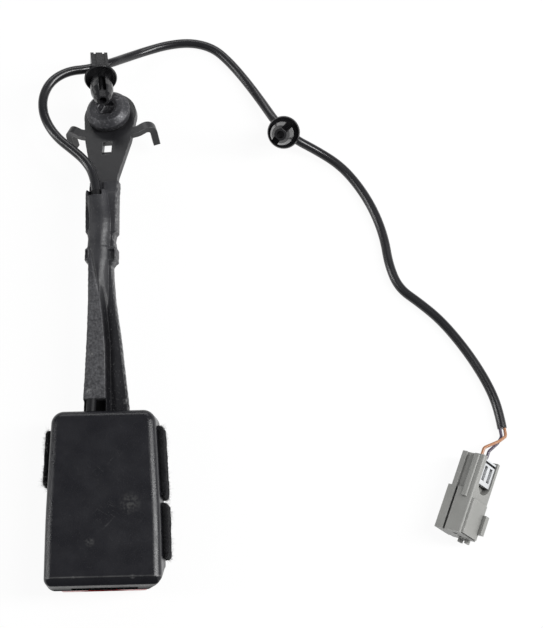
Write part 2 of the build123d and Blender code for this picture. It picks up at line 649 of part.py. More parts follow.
# ================================================================ strap
def strap_at(y):
    """Middle of the strap at a place along it: X, Z and roll, between the stations."""
    for (y0, x0, z0, _, roll0), (y1, x1, z1, _, roll1) in zip(STRAP_STATIONS, STRAP_STATIONS[1:]):
        if y <= y1:
            break
    share = (y - y0) / (y1 - y0)
    return x0 + share * (x1 - x0), z0 + share * (z1 - z0), roll0 + share * (roll1 - roll0)


def across(y):
    """The plane across the strap at Y: its X runs to the right, its Y runs up."""
    x, z, own_roll = strap_at(y)
    angle = math.radians(own_roll)
    return Plane(origin=(x, y, z), x_dir=(math.cos(angle), 0, math.sin(angle)), z_dir=(0, -1, 0))


def plate_plane():
    """The anchor plate's plane: pitched down at the far end, rolled, and turned a little."""
    pitch, roll, yaw = (math.radians(a) for a in (PLATE_PITCH, PLATE_ROLL, PLATE_YAW))
    along = Vector(-math.sin(yaw) * math.cos(pitch), math.cos(yaw) * math.cos(pitch), -math.sin(pitch))
    level = Vector(math.cos(yaw), math.sin(yaw), 0)
    up = level.cross(along)
    right = level * math.cos(roll) + up * math.sin(roll)
    normal = right.cross(along)
    return Plane(origin=(PLATE_X, PLATE_Y, PLATE_Z), x_dir=right, z_dir=normal)


def ear(side):
    """A bent ear: an arm that leaves the plate sideways and turns down."""
    path = FilletPolyline(
        (side * PLATE_RADIUS * 0.6, EAR_ROOT_V, 0),
        (side * EAR_KNEE, EAR_KNEE_V, 0),
        (side * EAR_REACH, EAR_TIP_V, 0),
        (side * EAR_REACH, EAR_TIP_V - EAR_SWEEP, -EAR_DROP),
        radius=[EAR_ARC, EAR_BEND + STRAP_THICK / 2],
    )
    section = Plane(origin=path @ 0, x_dir=(0, 0, 1), z_dir=path % 0) * Rectangle(STRAP_THICK, EAR_WIDTH)
    return sweep(section, path=path)


def anchor_strap():
    """Pressed steel strap: tail in the frame, narrow twisted middle, vase-shaped plate with ears."""
    tail_y, _, tail_z, tail_width, _ = STRAP_STATIONS[0]
    end_y = STRAP_STATIONS[1][0]
    strap = block(-tail_width / 2, tail_width / 2, tail_y, end_y, tail_z - STRAP_THICK / 2,
                  tail_z + STRAP_THICK / 2)
    strap = chamfer(strap.edges().filter_by(Axis.Z).group_by(Axis.Y)[0], 2.0)
    sections = [across(y) * Rectangle(width, STRAP_THICK) for y, _, _, width, _ in STRAP_STATIONS[1:]]
    strap += loft(sections)
    strap -= Pos(0, RIVET_Y, tail_z) * Cylinder(RIVET_RADIUS, 2 * STRAP_THICK)

    outline = Sketch() + make_face(
        Polyline(
            (-PLATE_RADIUS + 0.3, -3), (-PLATE_RADIUS + 1.5, -13),
            (-PLATE_NECK_HALF, -31.5), (-PLATE_NECK_HALF, PLATE_NECK_V),
            (PLATE_NECK_HALF, PLATE_NECK_V), (PLATE_NECK_HALF, -31.5),
            (PLATE_RADIUS - 1.5, -13), (PLATE_RADIUS - 0.3, -3),
            close=True,
        )
    )
    soft = [v for v in outline.vertices() if -32 < v.Y < -12]
    outline = fillet(soft, 9.0)
    outline += Circle(PLATE_RADIUS)
    plate = extrude(outline, amount=STRAP_THICK / 2, both=True)
    plate += ear(-1)
    plate += ear(1)
    plate -= Cylinder(PLATE_HOLE, 3 * STRAP_THICK)
    plate -= Pos(0, SLOT_V, 0) * Box(SLOT_W, SLOT_L, 3 * STRAP_THICK)
    lug = SLOT_L / 3
    plate += Pos(0, SLOT_V - SLOT_L / 2 + lug / 2, -STRAP_THICK / 4) * Box(SLOT_W, lug, STRAP_THICK / 2)
    return strap + plate_plane().location * plate


def anchor_bolt():
    """Captive bolt: chamfered round head with a hexagon socket, shoulder, shank."""
    profile = Polyline(
        (0, BOLT_TIP), (BOLT_RADIUS - BOLT_TIP_CHAMFER, BOLT_TIP), (BOLT_RADIUS, BOLT_TIP + BOLT_TIP_CHAMFER),
        (BOLT_RADIUS, SHOULDER_LOW), (SHOULDER_RADIUS, SHOULDER_LOW), (SHOULDER_RADIUS, BOLT_HEAD_LOW),
        (BOLT_HEAD_RADIUS, BOLT_HEAD_LOW), (BOLT_HEAD_RADIUS, BOLT_HEAD_LOW + 2.6),
        (BOLT_FLAT_RADIUS, BOLT_HEAD_HIGH), (0, BOLT_HEAD_HIGH),
        close=True,
    )
    bolt = revolve(Plane.XZ * make_face(profile), Axis.Z)
    hexagon = RegularPolygon(SOCKET_FLATS / 2, 6, major_radius=False)
    bolt -= extrude(Plane.XY.offset(BOLT_HEAD_HIGH - SOCKET_DEEP) * hexagon, amount=SOCKET_DEEP + 1)
    return plate_plane().location * bolt


def ring(points):
    """A ring round the bolt's axis, from its (radius, height) outline."""
    return plate_plane().location * revolve(Plane.XZ * make_face(Polyline(*points, close=True)), Axis.Z)


def wave_washer():
    """Sprung washer between the bolt's head and the plate."""
    inner = SHOULDER_RADIUS + 0.15
    low = STRAP_THICK / 2 + 0.1
    high = BOLT_HEAD_LOW - 0.1
    return ring([(inner, high - WAVE_THICK), (WAVE_OUT, low), (WAVE_OUT, low + WAVE_THICK), (inner, high)])


def retaining_washer():
    """Flat washer pushed on to the shoulder under the plate."""
    high = -STRAP_THICK / 2 - 0.1
    inner = SHOULDER_RADIUS + 0.03
    low = high - WASHER_THICK
    return ring([(inner, low), (WASHER_OUT, low), (WASHER_OUT, high), (inner, high)])


# ================================================================ sleeve and leads
def sleeve_section(station, tunnel=True):
    """The sleeve's outline across the strap: flat underside, raised wire tunnel on the left."""
    y, left, right, ridge, top = station
    middle = strap_at(y)[0]
    left, right, ridge = left - middle, right - middle, ridge - middle
    points = [
        (left, -SLEEVE_UNDER), (right, -SLEEVE_UNDER), (right, 1.9), (right - 1.3, 2.9),
        (ridge + 1.4, 2.5), (ridge, top - 0.5), (left + 1.2, top), (left, top - 2.2),
    ]
    outline = Sketch() + make_face(Polyline(*points, close=True))
    return across(y) * fillet(outline.vertices(), 0.6)


def sleeve_block(y_low, y_high, half, low, high, edge=1.0):
    """A rounded block round the strap between two places along it."""
    faces = []
    for y in (y_low, y_high):
        outline = Pos(0, (low + high) / 2) * RectangleRounded(2 * half, high - low, edge)
        faces.append(across(y) * outline)
    return loft(faces)


def lead_points():
    """The lead's route inside the sleeve, above the strap."""
    return [(x, y, strap_at(y)[1] + LEAD_ABOVE) for y, x in LEAD_X]


def stalk_sleeve(strap, lead):
    """Moulded boot: lofted body with its tunnel, collar, socket with side windows, mouth lip."""
    sleeve = loft([sleeve_section(station) for station in SLEEVE_STATIONS])
    sleeve += loft([sleeve_section(station) for station in MOUTH_STATIONS])
    sleeve += sleeve_block(COLLAR[0], COLLAR[1], COLLAR[2], -3.3, COLLAR_HIGH)
    sleeve += sleeve_block(SOCKET[0], SOCKET[1], SOCKET[2], -3.4, 3.6)
    sleeve += sleeve_block(SOCKET[1] - 1, LIP_END, LIP_HALF, -2.6, 2.5, edge=0.8)
    for start, end, half in (COLLAR, SOCKET):
        x, z, _ = strap_at((start + end) / 2)
        sleeve -= block(x - half - SIDE_POCKET, x - half + SIDE_POCKET, start + 1.4, end - 1.8,
                        z - 1.2, z + 2 * COLLAR_HIGH)
    x, z, _ = strap_at((COLLAR[0] + COLLAR[1]) / 2)
    sleeve -= block(x + COLLAR_POCKET[0], x + COLLAR_POCKET[1], COLLAR[0] + 1.2, COLLAR[1] - 1.4,
                    z + COLLAR_HIGH - 1.3, z + COLLAR_HIGH + 2)
    _, left, right, ridge, _ = SLEEVE_STATIONS[0]
    foot = strap_at(SLEEVE_FRONT)[1]
    sleeve -= block(left - 1, ridge + 0.2, SLEEVE_FRONT - 1, TUNNEL_FRONT, foot + 2.4, foot + 12)
    flange_top = foot + 2.4
    inside = STRAP_END - WALL - (flange_top - PARTING) * math.tan(math.radians(DRAFT)) - SLEEVE_FIT
    sleeve -= block(left - 1, right + 1, SLEEVE_FRONT - 1, STRAP_END + 0.2, foot + SLEEVE_FOOT_HIGH, foot + 12)
    sleeve += block(left - SLEEVE_FLANGE, right + SLEEVE_FLANGE, SLEEVE_FRONT, inside,
                    foot - SLEEVE_UNDER, flange_top)
    cable_way, _ = tube(CABLE_POINTS[:3], CABLE_RADIUS + SLEEVE_FIT, cord_radii(CABLE_POINTS[:3]))
    return sleeve - strap - lead - cable_way


# ================================================================ clips
def cable_clip():
    """Push-in clip along +Z: tie head, umbrella disc, stem and two barbed wings."""
    rim = CLIP_DISC_RADIUS
    disc = revolve(
        Plane.XZ * make_face(
            Polyline(
                (0, 0), (CLIP_STEM_RADIUS + 0.8, 0), (rim - 0.5, CLIP_DISC_DEEP), (rim, CLIP_DISC_DEEP + 0.3),
                (rim - 0.4, CLIP_DISC_DEEP + 0.3 + CLIP_DISC_THICK),
                (rim - 1.6, CLIP_DISC_DEEP + 0.4), (CLIP_STEM_RADIUS, CLIP_DISC_THICK), (0, CLIP_DISC_THICK),
                close=True,
            )
        ),
        Axis.Z,
    )
    base = CLIP_DISC_DEEP + 1.6
    tip = base + CLIP_HEAD_LENGTH
    stem = Pos(0, 0, 0.3) * Cylinder(CLIP_STEM_RADIUS, tip - 4, align=(Align.CENTER, Align.CENTER, Align.MIN))
    wings = revolve(
        Plane.XZ * make_face(
            Polyline(
                (CLIP_HEAD_RADIUS - 2.2, base), (CLIP_HEAD_RADIUS - 1.0, base + 0.5),
                (CLIP_HEAD_RADIUS - 0.5, base + 3.0), (CLIP_HEAD_RADIUS, base + 6.5),
                (CLIP_HEAD_RADIUS - 0.2, base + 9.5), (CLIP_HEAD_RADIUS - 1.2, tip - 2.0),
                (CLIP_HEAD_RADIUS - 2.4, tip), (CLIP_HEAD_RADIUS - 3.4, tip),
                (CLIP_STEM_RADIUS - 0.5, tip - 3.0), (0, tip - 3.0), (0, tip - 5.5),
                (CLIP_HEAD_RADIUS - 2.2, tip - 4.5), (CLIP_HEAD_RADIUS - 1.4, base + 6.5),
                close=True,
            )
        ),
        Axis.Z,
    )
    for side in (-1, 1):
        slit = Box(3.0, 2 * CLIP_HEAD_RADIUS - 4.4, 2 * CLIP_HEAD_LENGTH)
        wings -= Pos(0, side * CLIP_HEAD_RADIUS, base) * slit
    return disc + stem + wings


def clip_on_cable(first, last, axis, reach):
    """A clip whose block holds the cable askew, on the run between two points of its route."""
    start, end = Vector(*CABLE_POINTS[first]), Vector(*CABLE_POINTS[last])
    middle = (start + end) * 0.5
    along = (end - start).normalized()
    up = Vector(*axis).normalized()
    frame = Plane(origin=middle, x_dir=along - up * up.dot(along), z_dir=up)
    bore = CABLE_RADIUS + TIE_GAP
    top = bore + TIE_WALL
    width, depth = TIE_BODY
    body = block(-width / 2, width / 2, -depth / 2, depth / 2, -TIE_BACK, top)
    body = fillet(body.edges().filter_by(Axis.X), 1.0)
    for x in (-width / 4, width / 4):
        body -= block(x - 0.45, x + 0.45, -depth, depth, -TIE_BACK - 1, -TIE_BACK + 0.8)
        body -= block(x - 0.45, x + 0.45, depth / 2 - 0.6, depth, -TIE_BACK - 1, top - 1)
    neck = Pos(0, 0, top - 0.5) * Cylinder(
        CLIP_STEM_RADIUS + 0.6, reach + 1.0, align=(Align.CENTER, Align.CENTER, Align.MIN)
    )
    clip = frame.location * (body + neck + Pos(0, 0, top + reach) * cable_clip())
    return clip - Plane(origin=middle, z_dir=along) * Cylinder(bore, 2 * width)


# ================================================================ plug
def plug_place():
    """Where the plug lies: turned, rolled on to its edge, and lifted on to the surface."""
    turned = Location((PLUG_X, PLUG_Y, 0)) * Rot(0, 0, PLUG_TURN) * Rot(0, PLUG_ROLL, 0)
    low = (turned * plug_body()).bounding_box().min.Z
    return Location((0, 0, -low)) * turned


def plug_body():
    """Plug body along Y, wires at +Y: railed top, windowed right side, keys, terminal slots."""
    half_x, half_y, half_z = PLUG_WIDTH / 2, PLUG_LENGTH / 2, PLUG_DEPTH / 2
    step_y = half_y - 15.0
    body = Box(PLUG_WIDTH, PLUG_LENGTH, PLUG_DEPTH)
    body = fillet(body.edges().filter_by(Axis.Y), 0.8)
    body += block(-half_x - 1.2, -half_x + 1, -half_y, step_y, -half_z + 2, half_z)
    body -= block(-half_x + 2.6, -half_x + 3.7, -half_y - 1, half_y + 1, half_z - 1.1, half_z + 1)
    body -= block(-half_x + 3.7, -half_x + 6.3, step_y, half_y + 1, half_z - 1.1, half_z + 1)
    rib = block(-half_x + 6.3, half_x - 2.2, step_y - 3.5, half_y - 0.6, half_z - 1, half_z + 0.7)
    body += fillet(rib.edges().filter_by(Axis.Y).group_by(Axis.Z)[-1], 0.6)
    body += block(half_x - 1, half_x + 1.0, -half_y + 0.4, step_y - 3.5, -half_z + 1.6, half_z - 0.8)
    body += block(half_x - 1, half_x + 2.6, -half_y + 3.0, step_y - 7.5, -half_z, -half_z + 2.6)
    window = block(half_x - PLUG_POCKET, half_x + 1, half_y - 10.5, half_y + 1,
                   -PLUG_WINDOW / 2, PLUG_WINDOW / 2)
    window += Pos(half_x + 1, half_y - 10.5, 0) * Rot(0, -90, 0) * Cylinder(
        PLUG_WINDOW / 2, PLUG_POCKET + 1, align=(Align.CENTER, Align.CENTER, Align.MIN)
    )
    body -= window
    for z in PLUG_WAYS:
        body -= block(PLUG_WAY_X - 1.1, PLUG_WAY_X + 1.1, -half_y - 1, half_y + 1, z - 1.1, z + 1.1)
    lug = block(-2.2, 2.2, -half_y - 1.6, -half_y + 1, -half_z - 1.4, -half_z + 1.2)
    body += lug - block(-1.1, 1.1, -half_y - 2, -half_y - 0.4, -half_z - 2, -half_z + 2)
    return body


def plug_retainer():
    """Pale comb in the plug's window, two slots long."""
    half_x, half_y = PLUG_WIDTH / 2, PLUG_LENGTH / 2
    half = PLUG_WINDOW / 2 - 0.15
    floor = half_x - PLUG_POCKET
    comb = block(floor, half_x - 0.6, half_y - 11.5, half_y - 0.8, -half, half)
    for z in (-2.1, 2.1):
        comb -= block(floor + 0.8, half_x + 1, half_y - 9.6, half_y - 3.4, z - 1.1, z + 1.1)
    comb -= block(floor + 1.2, half_x + 1, half_y - 2.6, half_y - 1.6, -half - 1, half + 1)
    return comb


def plug_terminals():
    """Two brass receptacles in the plug's ways."""
    half_y = PLUG_LENGTH / 2
    terminals = []
    for z in PLUG_WAYS:
        body = block(-0.9, 0.9, -half_y + 2.0, half_y - PLUG_WIRE_IN, z - 0.9, z + 0.9)
        body -= block(-0.5, 0.5, -half_y + 1.0, -half_y + 9.0, z - 0.5, z + 0.5)
        terminals.append(Pos(PLUG_WAY_X, 0, 0) * body)
    return terminals


def plug_wire(way, place, bulge):
    """One wire from the jacket's end into its way in the plug."""
    jacket_end = Vector(*CABLE_POINTS[-1])
    last_run = (jacket_end - Vector(*CABLE_POINTS[-2])).normalized()
    side = Vector(0, 0, 1).cross(last_run) * (0.95 if way else -0.95)
    rear = PLUG_LENGTH / 2
    mouth = place * Location((PLUG_WAY_X, rear + 4.0, PLUG_WAYS[way]))
    inside = place * Location((PLUG_WAY_X, rear - PLUG_WIRE_IN, PLUG_WAYS[way]))
    start = jacket_end + side
    first = start + last_run * 3.5
    bend = (first + mouth.position) * 0.5 + Vector(*bulge)
    points = [tuple(v) for v in (start, first, bend, mouth.position, inside.position)]
    return tube(points, WIRE_RADIUS, [2.0, 2.5, 2.0])[0]


# ================================================================ build
def build():
    """Every piece by its node's name."""
    strap = anchor_strap()
    lead, _ = tube(lead_points(), CABLE_RADIUS, cord_radii(lead_points()))
    radii = cord_radii(CABLE_POINTS)
    cable, path = tube(CABLE_POINTS, CABLE_RADIUS, radii)
    print("cable radii:", " ".join(f"{r:.0f}" for r in radii))
    section = math.pi * CABLE_RADIUS ** 2
    print(f"cable length {path.length:.1f}, volume {cable.volume:.0f} against {section * path.length:.0f}")
    place = plug_place()
    return {
        "rear_cover": rear_cover(),
        "front_cover": front_cover(),
        "press_button": press_button(),
        "lock_bar": lock_bar(),
        "buckle_frame": buckle_frame(),
        "latch": latch(),
        "latch_pin": latch_pin(),
        "latch_spring": latch_spring(),
        "ejector": ejector(),
        "ejector_spring": spring_y(EJECTOR_SPRING_RADIUS, EJECTOR_REAR, STRAP_FRONT, 0, EJECTOR_SPRING_Z,
                                   EJECTOR_SPRING_TURNS),
        "button_spring": spring_y(BUTTON_SPRING_RADIUS, BUTTON_FACE + BUTTON_FACE_WALL, SPRING_STOP_Y, 0,
                                  BUTTON_SPRING_Z, BUTTON_SPRING_TURNS),
        "strap_rivet": strap_rivet(),
        "buckle_switch": buckle_switch(),
        "switch_wires": switch_wires(),
        "felt_pad_left": felt_pad(-1, FELT_LEFT),
        "felt_pad_right_upper": felt_pad(1, FELT_RIGHT_UPPER),
        "felt_pad_right_lower": felt_pad(1, FELT_RIGHT_LOWER),
        "anchor_strap": strap,
        "anchor_bolt": anchor_bolt(),
        "wave_washer": wave_washer(),
        "retaining_washer": retaining_washer(),
        "stalk_sleeve": stalk_sleeve(strap, lead),
        "sleeve_lead": lead,
        "signal_cable": cable,
        "first_clip": clip_on_cable(*FIRST_CLIP),
        "second_clip": clip_on_cable(*SECOND_CLIP),
        "plug_wire_dark": plug_wire(0, place, (1.0, 0.2, 0.4)),
        "plug_wire_orange": plug_wire(1, place, (1.8, 0.2, 0.6)),
        "plug_housing": place * plug_body(),
        "plug_retainer": place * plug_retainer(),
        "plug_terminals": [place * t for t in plug_terminals()],
    }


def write(pieces):
    """One STEP file for each node; a list is one node of separate solids."""
    os.makedirs("parts", exist_ok=True)
    for name, piece in pieces.items():
        solids = []
        for part in piece if isinstance(piece, list) else [piece]:
            solids += part.solids()
        shape = solids[0] if len(solids) == 1 else Compound(children=solids)
        export_step(shape, f"parts/{name}.step")


write(build())
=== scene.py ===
"""Look of the seat belt buckle with its anchor strap, sensor cable and plug.

The CAD frame carries the shapes that move and bear load. This script gives each node its finish
and adds what soft, worn and threaded parts need. Metres, in the row frame.
"""
import math

import bmesh
import bpy
import numpy as np
from mathutils import Matrix, Vector


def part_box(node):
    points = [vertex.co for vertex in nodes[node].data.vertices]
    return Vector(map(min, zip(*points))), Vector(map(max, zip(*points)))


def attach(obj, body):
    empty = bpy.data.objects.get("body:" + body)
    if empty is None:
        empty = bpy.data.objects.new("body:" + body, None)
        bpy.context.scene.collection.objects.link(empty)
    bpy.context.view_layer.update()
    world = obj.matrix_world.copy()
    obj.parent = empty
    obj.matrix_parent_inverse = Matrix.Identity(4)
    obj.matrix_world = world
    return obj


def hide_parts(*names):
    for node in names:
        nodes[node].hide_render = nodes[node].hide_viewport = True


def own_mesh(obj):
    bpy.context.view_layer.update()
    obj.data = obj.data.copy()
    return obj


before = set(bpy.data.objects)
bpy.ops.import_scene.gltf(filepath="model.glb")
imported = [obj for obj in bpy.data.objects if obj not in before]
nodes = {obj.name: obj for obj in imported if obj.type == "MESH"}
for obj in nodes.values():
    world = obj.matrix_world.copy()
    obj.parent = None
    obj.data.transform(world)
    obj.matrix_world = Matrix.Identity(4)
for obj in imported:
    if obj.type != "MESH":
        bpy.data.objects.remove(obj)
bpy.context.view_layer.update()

# ---------------------------------------------------------------- camera
# A long lens looks down at the object from the button end, 15 degrees off the vertical. The
# whole part, from the button to the plug, lies flat under it.
mm = 0.001
lens_place = Vector((65.5, -155.1, 618.2)) * mm
lens_aim = Vector((69.6, 10.5, 0.0)) * mm
lens_right = Vector((0.9997, -0.0244, 0.0))

lens = bpy.data.cameras.new("lens")
lens.lens = 85
lens.sensor_fit = "VERTICAL"
lens.sensor_height = 36
camera = bpy.data.objects.new("camera", lens)
backwards = (lens_place - lens_aim).normalized()
upwards = backwards.cross(lens_right).normalized()
sideways = upwards.cross(backwards)
lens_turn = Matrix((sideways, upwards, backwards)).transposed().to_4x4()
camera.matrix_world = Matrix.Translation(lens_place) @ lens_turn
bpy.context.scene.collection.objects.link(camera)
bpy.context.scene.camera = camera

# ---------------------------------------------------------------- sensor cable
# The belt switch's lead: a round PVC jacket of 4 mm over two thin wires. It leaves the sleeve's
# mouth, rises over the anchor in one loop, and lies in loose curves to the plug's two wires.
cable_route = [
    (-3.2, 59.0, 27.2), (-4.115, 66.0, 27.317), (-8.0, 72.6, 27.0), (-13.5, 77.8, 26.6),
    (-19.2, 82.7, 26.3), (-23.6, 88.5, 26.0), (-26.5, 95.4, 25.6), (-26.8, 103.2, 25.1),
    (-23.5, 110.8, 24.2), (-16.4, 115.9, 22.7), (-7.3, 117.5, 20.8), (1.1, 121.7, 17.0),
    (7.4, 127.5, 9.7), (15.6, 133.2, 3.8), (25.8, 137.0, 2.0), (36.5, 137.9, 2.0),
    (46.3, 134.9, 2.1), (53.3, 128.2, 2.0), (60.8, 118.4, 2.1), (68.0, 106.8, 3.8),
    (73.9, 95.3, 8.1), (81.5, 87.7, 8.2), (91.2, 83.7, 4.2), (101.6, 77.2, 2.1),
    (109.4, 67.4, 2.0), (115.6, 55.8, 2.1), (119.6, 43.2, 2.0), (121.0, 30.8, 2.1),
    (124.8, 20.2, 2.0), (133.4, 13.4, 2.1), (141.6, 6.0, 2.0), (149.0, -3.4, 2.1),
    (155.8, -13.8, 2.0), (161.4, -24.8, 2.1), (164.6, -34.6, 2.0), (165.5, -42.4, 2.3),
]
cable_radius = 2.0 * mm


def new_material(name, colour, roughness, metallic=0.0):
    """A material with one Principled shader, and the object's own coordinates for its patterns."""
    material = bpy.data.materials.new(name)
    material.use_nodes = True
    tree = material.node_tree
    shader = tree.nodes["Principled BSDF"]
    shader.inputs["Base Color"].default_value = (*colour, 1)
    shader.inputs["Roughness"].default_value = roughness
    shader.inputs["Metallic"].default_value = metallic
    place = tree.nodes.new("ShaderNodeTexCoord")
    return material, tree, shader, place.outputs["Object"]


def put(tree, kind, inputs=None, **settings):
    """A node of that kind, with its settings, and its inputs given as values or as links."""
    made = tree.nodes.new("ShaderNode" + kind)
    for name, value in settings.items():
        setattr(made, name, value)
    for name, value in (inputs or {}).items():
        if isinstance(value, bpy.types.NodeSocket):
            tree.links.new(value, made.inputs[name])
        else:
            made.inputs[name].default_value = value
    return made


def new_group(name, inputs, outputs):
    """An effect shared by several materials: a node group with named number and vector sockets."""
    tree = bpy.data.node_groups.new(name, "ShaderNodeTree")
    kinds = {"vector": "NodeSocketVector", "value": "NodeSocketFloat"}
    for socket, kind in inputs.items():
        tree.interface.new_socket(socket, in_out="INPUT", socket_type=kinds[kind])
    for socket, kind in outputs.items():
        tree.interface.new_socket(socket, in_out="OUTPUT", socket_type=kinds[kind])
    return tree, tree.nodes.new("NodeGroupInput").outputs, tree.nodes.new("NodeGroupOutput").inputs


def use(tree, group, inputs):
    """That group placed in a material, with its own values."""
    return put(tree, "Group", inputs, node_tree=group).outputs


def mix(tree, share, low, high):
    """A colour between two, by a share."""
    mixed = put(tree, "Mix", {"Factor": share}, data_type="RGBA")
    colour_sockets = (6, low), (7, high)
    for socket, colour in colour_sockets:
        if isinstance(colour, bpy.types.NodeSocket):
            tree.links.new(colour, mixed.inputs[socket])
        else:
            mixed.inputs[socket].default_value = (*colour, 1)
    return mixed.outputs[2]


def tint(tree, shader, share, low, high):
    """The shader's colour, between two by a share."""
    tree.links.new(mix(tree, share, low, high), shader.inputs["Base Color"])


def spread(tree, value, low, high, start=0.0, end=1.0):
    """A value between start and end, stretched to run from low to high."""
    inputs = {"Value": value, "From Min": start, "From Max": end, "To Min": low, "To Max": high}
    return put(tree, "MapRange", inputs).outputs["Result"]


# Moulded grain: a fine speckle and a slow unevenness, in one height and one shade.
grain_group, given, gives = new_group(
    "moulded grain", {"Place": "vector", "Per Metre": "value"}, {"Height": "value", "Shade": "value"}
)
fine = put(grain_group, "TexNoise", {"Vector": given["Place"], "Scale": given["Per Metre"],
                                     "Detail": 3.0, "Roughness": 0.6})
slow_scale = put(grain_group, "Math", {0: given["Per Metre"], 1: 0.05}, operation="MULTIPLY")
slow = put(grain_group, "TexNoise", {"Vector": given["Place"], "Scale": slow_scale.outputs[0],
                                     "Detail": 4.0, "Roughness": 0.55})
grain_group.links.new(fine.outputs["Fac"], gives["Height"])
grain_group.links.new(slow.outputs["Fac"], gives["Shade"])


def add_grain(tree, shader, place, per_metre, height, rough_low, rough_high, distance=0.0002):
    """Grain in a material's bump and in its roughness; returns the slow shade for its colour."""
    grain = use(tree, grain_group, {"Place": place, "Per Metre": per_metre})
    bump = put(tree, "Bump", {"Height": grain["Height"], "Strength": height, "Distance": distance})
    tree.links.new(bump.outputs["Normal"], shader.inputs["Normal"])
    rough = spread(tree, grain["Shade"], rough_low, rough_high, 0.3, 0.7)
    tree.links.new(rough, shader.inputs["Roughness"])
    return grain["Shade"]


def paint(node, material):
    """That material on a CAD node, in place of the one it was packed with."""
    nodes[node].data.materials.clear()
    nodes[node].data.materials.append(material)


def cord_curve(name, route, radius, material):
    """A round cord along one smooth NURBS line, with the route's points as its control points."""
    curve = bpy.data.curves.new(name, "CURVE")
    curve.dimensions = "3D"
    curve.bevel_depth = radius
    curve.bevel_resolution = 6
    curve.resolution_u = 12
    curve.use_fill_caps = True
    line = curve.splines.new("NURBS")
    line.points.add(len(route) - 1)
    points = np.ones((len(route), 4))
    points[:, :3] = np.array(route) * mm
    line.points.foreach_set("co", points.ravel())
    line.order_u = 3
    line.use_endpoint_u = True
    cord = bpy.data.objects.new(name, curve)
    bpy.context.scene.collection.objects.link(cord)
    curve.materials.append(material)
    return cord


jacket, tree, shader, place = new_material("cable jacket", (0.018, 0.018, 0.020), 0.3)
shade = add_grain(tree, shader, place, 900, 0.10, 0.20, 0.34)
tint(tree, shader, shade, (0.006, 0.006, 0.007), (0.016, 0.016, 0.018))
cable = cord_curve("signal_cable_jacket", cable_route, cable_radius, jacket)
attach(cable, "buckle")
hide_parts("signal_cable")

# ---------------------------------------------------------------- housing covers
# Two moulded ABS shells, near black with a fine satin grain. Years of hands and belt tongues have
# left fine scratches over the middle of the back and pale rubs on its edges. The pale line along
# the bend to the lip is partly such a rub and partly a painted highlight.


def both(tree, first, second):
    """Where two masks overlap."""
    return put(tree, "Math", {0: first, 1: second}, operation="MULTIPLY").outputs[0]


# Fine scratches: short slanting lines in patches, as a mask.
scratch_group, given, gives = new_group(
    "fine scratches", {"Place": "vector", "Turn": "value", "Amount": "value"}, {"Mask": "value"}
)
turned = put(scratch_group, "VectorRotate", {"Vector": given["Place"], "Angle": given["Turn"]},
             rotation_type="Z_AXIS")
drawn = put(scratch_group, "Mapping", {"Vector": turned.outputs["Vector"], "Scale": (2600, 90, 300)})
lines = put(scratch_group, "TexNoise", {"Vector": drawn.outputs["Vector"], "Scale": 1.0,
                                        "Detail": 2.0})
patches = put(scratch_group, "TexNoise", {"Vector": given["Place"], "Scale": 120.0, "Detail": 3.0})
thin = spread(scratch_group, lines.outputs["Fac"], 0, 1, 0.64, 0.74)
where = spread(scratch_group, patches.outputs["Fac"], 0, 1, 0.48, 0.66)
scratched = both(scratch_group, both(scratch_group, thin, where), given["Amount"])
scratch_group.links.new(scratched, gives["Mask"])

# Rubbed edges: where the surface turns within a small radius, broken up by noise.
rub_group, given, gives = new_group(
    "rubbed edges", {"Place": "vector", "Radius": "value", "Amount": "value"}, {"Mask": "value"}
)
rounded = put(rub_group, "Bevel", {"Radius": given["Radius"]}, samples=4)
flat = put(rub_group, "NewGeometry")
alike = put(rub_group, "VectorMath", {0: rounded.outputs["Normal"], 1: flat.outputs["Normal"]},
            operation="DOT_PRODUCT")
edge = spread(rub_group, alike.outputs["Value"], 1, 0, 0.86, 0.995)
breaks = put(rub_group, "TexNoise", {"Vector": given["Place"], "Scale": 700.0, "Detail": 4.0})
broken = spread(rub_group, breaks.outputs["Fac"], 0, 1, 0.42, 0.62)
rubbed = both(rub_group, both(rub_group, edge, broken), given["Amount"])
rub_group.links.new(rubbed, gives["Mask"])

# fine scratches on the back: turn, amount and shade
shell_scratches = [(0.7, 0.7, 0.095), (-0.9, 0.65, 0.08), (2.1, 0.6, 0.08)]
scratched_spot, scratched_size = (0.004, -0.069, 0.027), 0.022
dusty_spot, dusty_size = (0.002, -0.078, 0.027), 0.034
# scuffs on the back: place, size in metres and shade
shell_scuffs = [
    ((0.0110, -0.0735, 0.027), 0.0050, 0.040),
    ((-0.0050, -0.0885, 0.027), 0.0022, 0.050),
    ((-0.0115, -0.1024, 0.0268), 0.0009, 0.150),
    ((0.0120, -0.1024, 0.0268), 0.0012, 0.110),
    ((-0.0215, -0.1030, 0.0240), 0.0011, 0.200),
]


def worn_spot(tree, place, middle, size):
    """A ragged round patch about a place: one in its middle, none beyond its size."""
    ragged = put(tree, "TexNoise", {"Vector": place, "Scale": 900.0, "Detail": 4.0})
    away = put(tree, "VectorMath", {0: place, 1: middle}, operation="DISTANCE").outputs["Value"]
    near = spread(tree, away, 1, 0, 0.25 * size, size)
    return both(tree, near, spread(tree, ragged.outputs["Fac"], 0, 1, 0.40, 0.62))


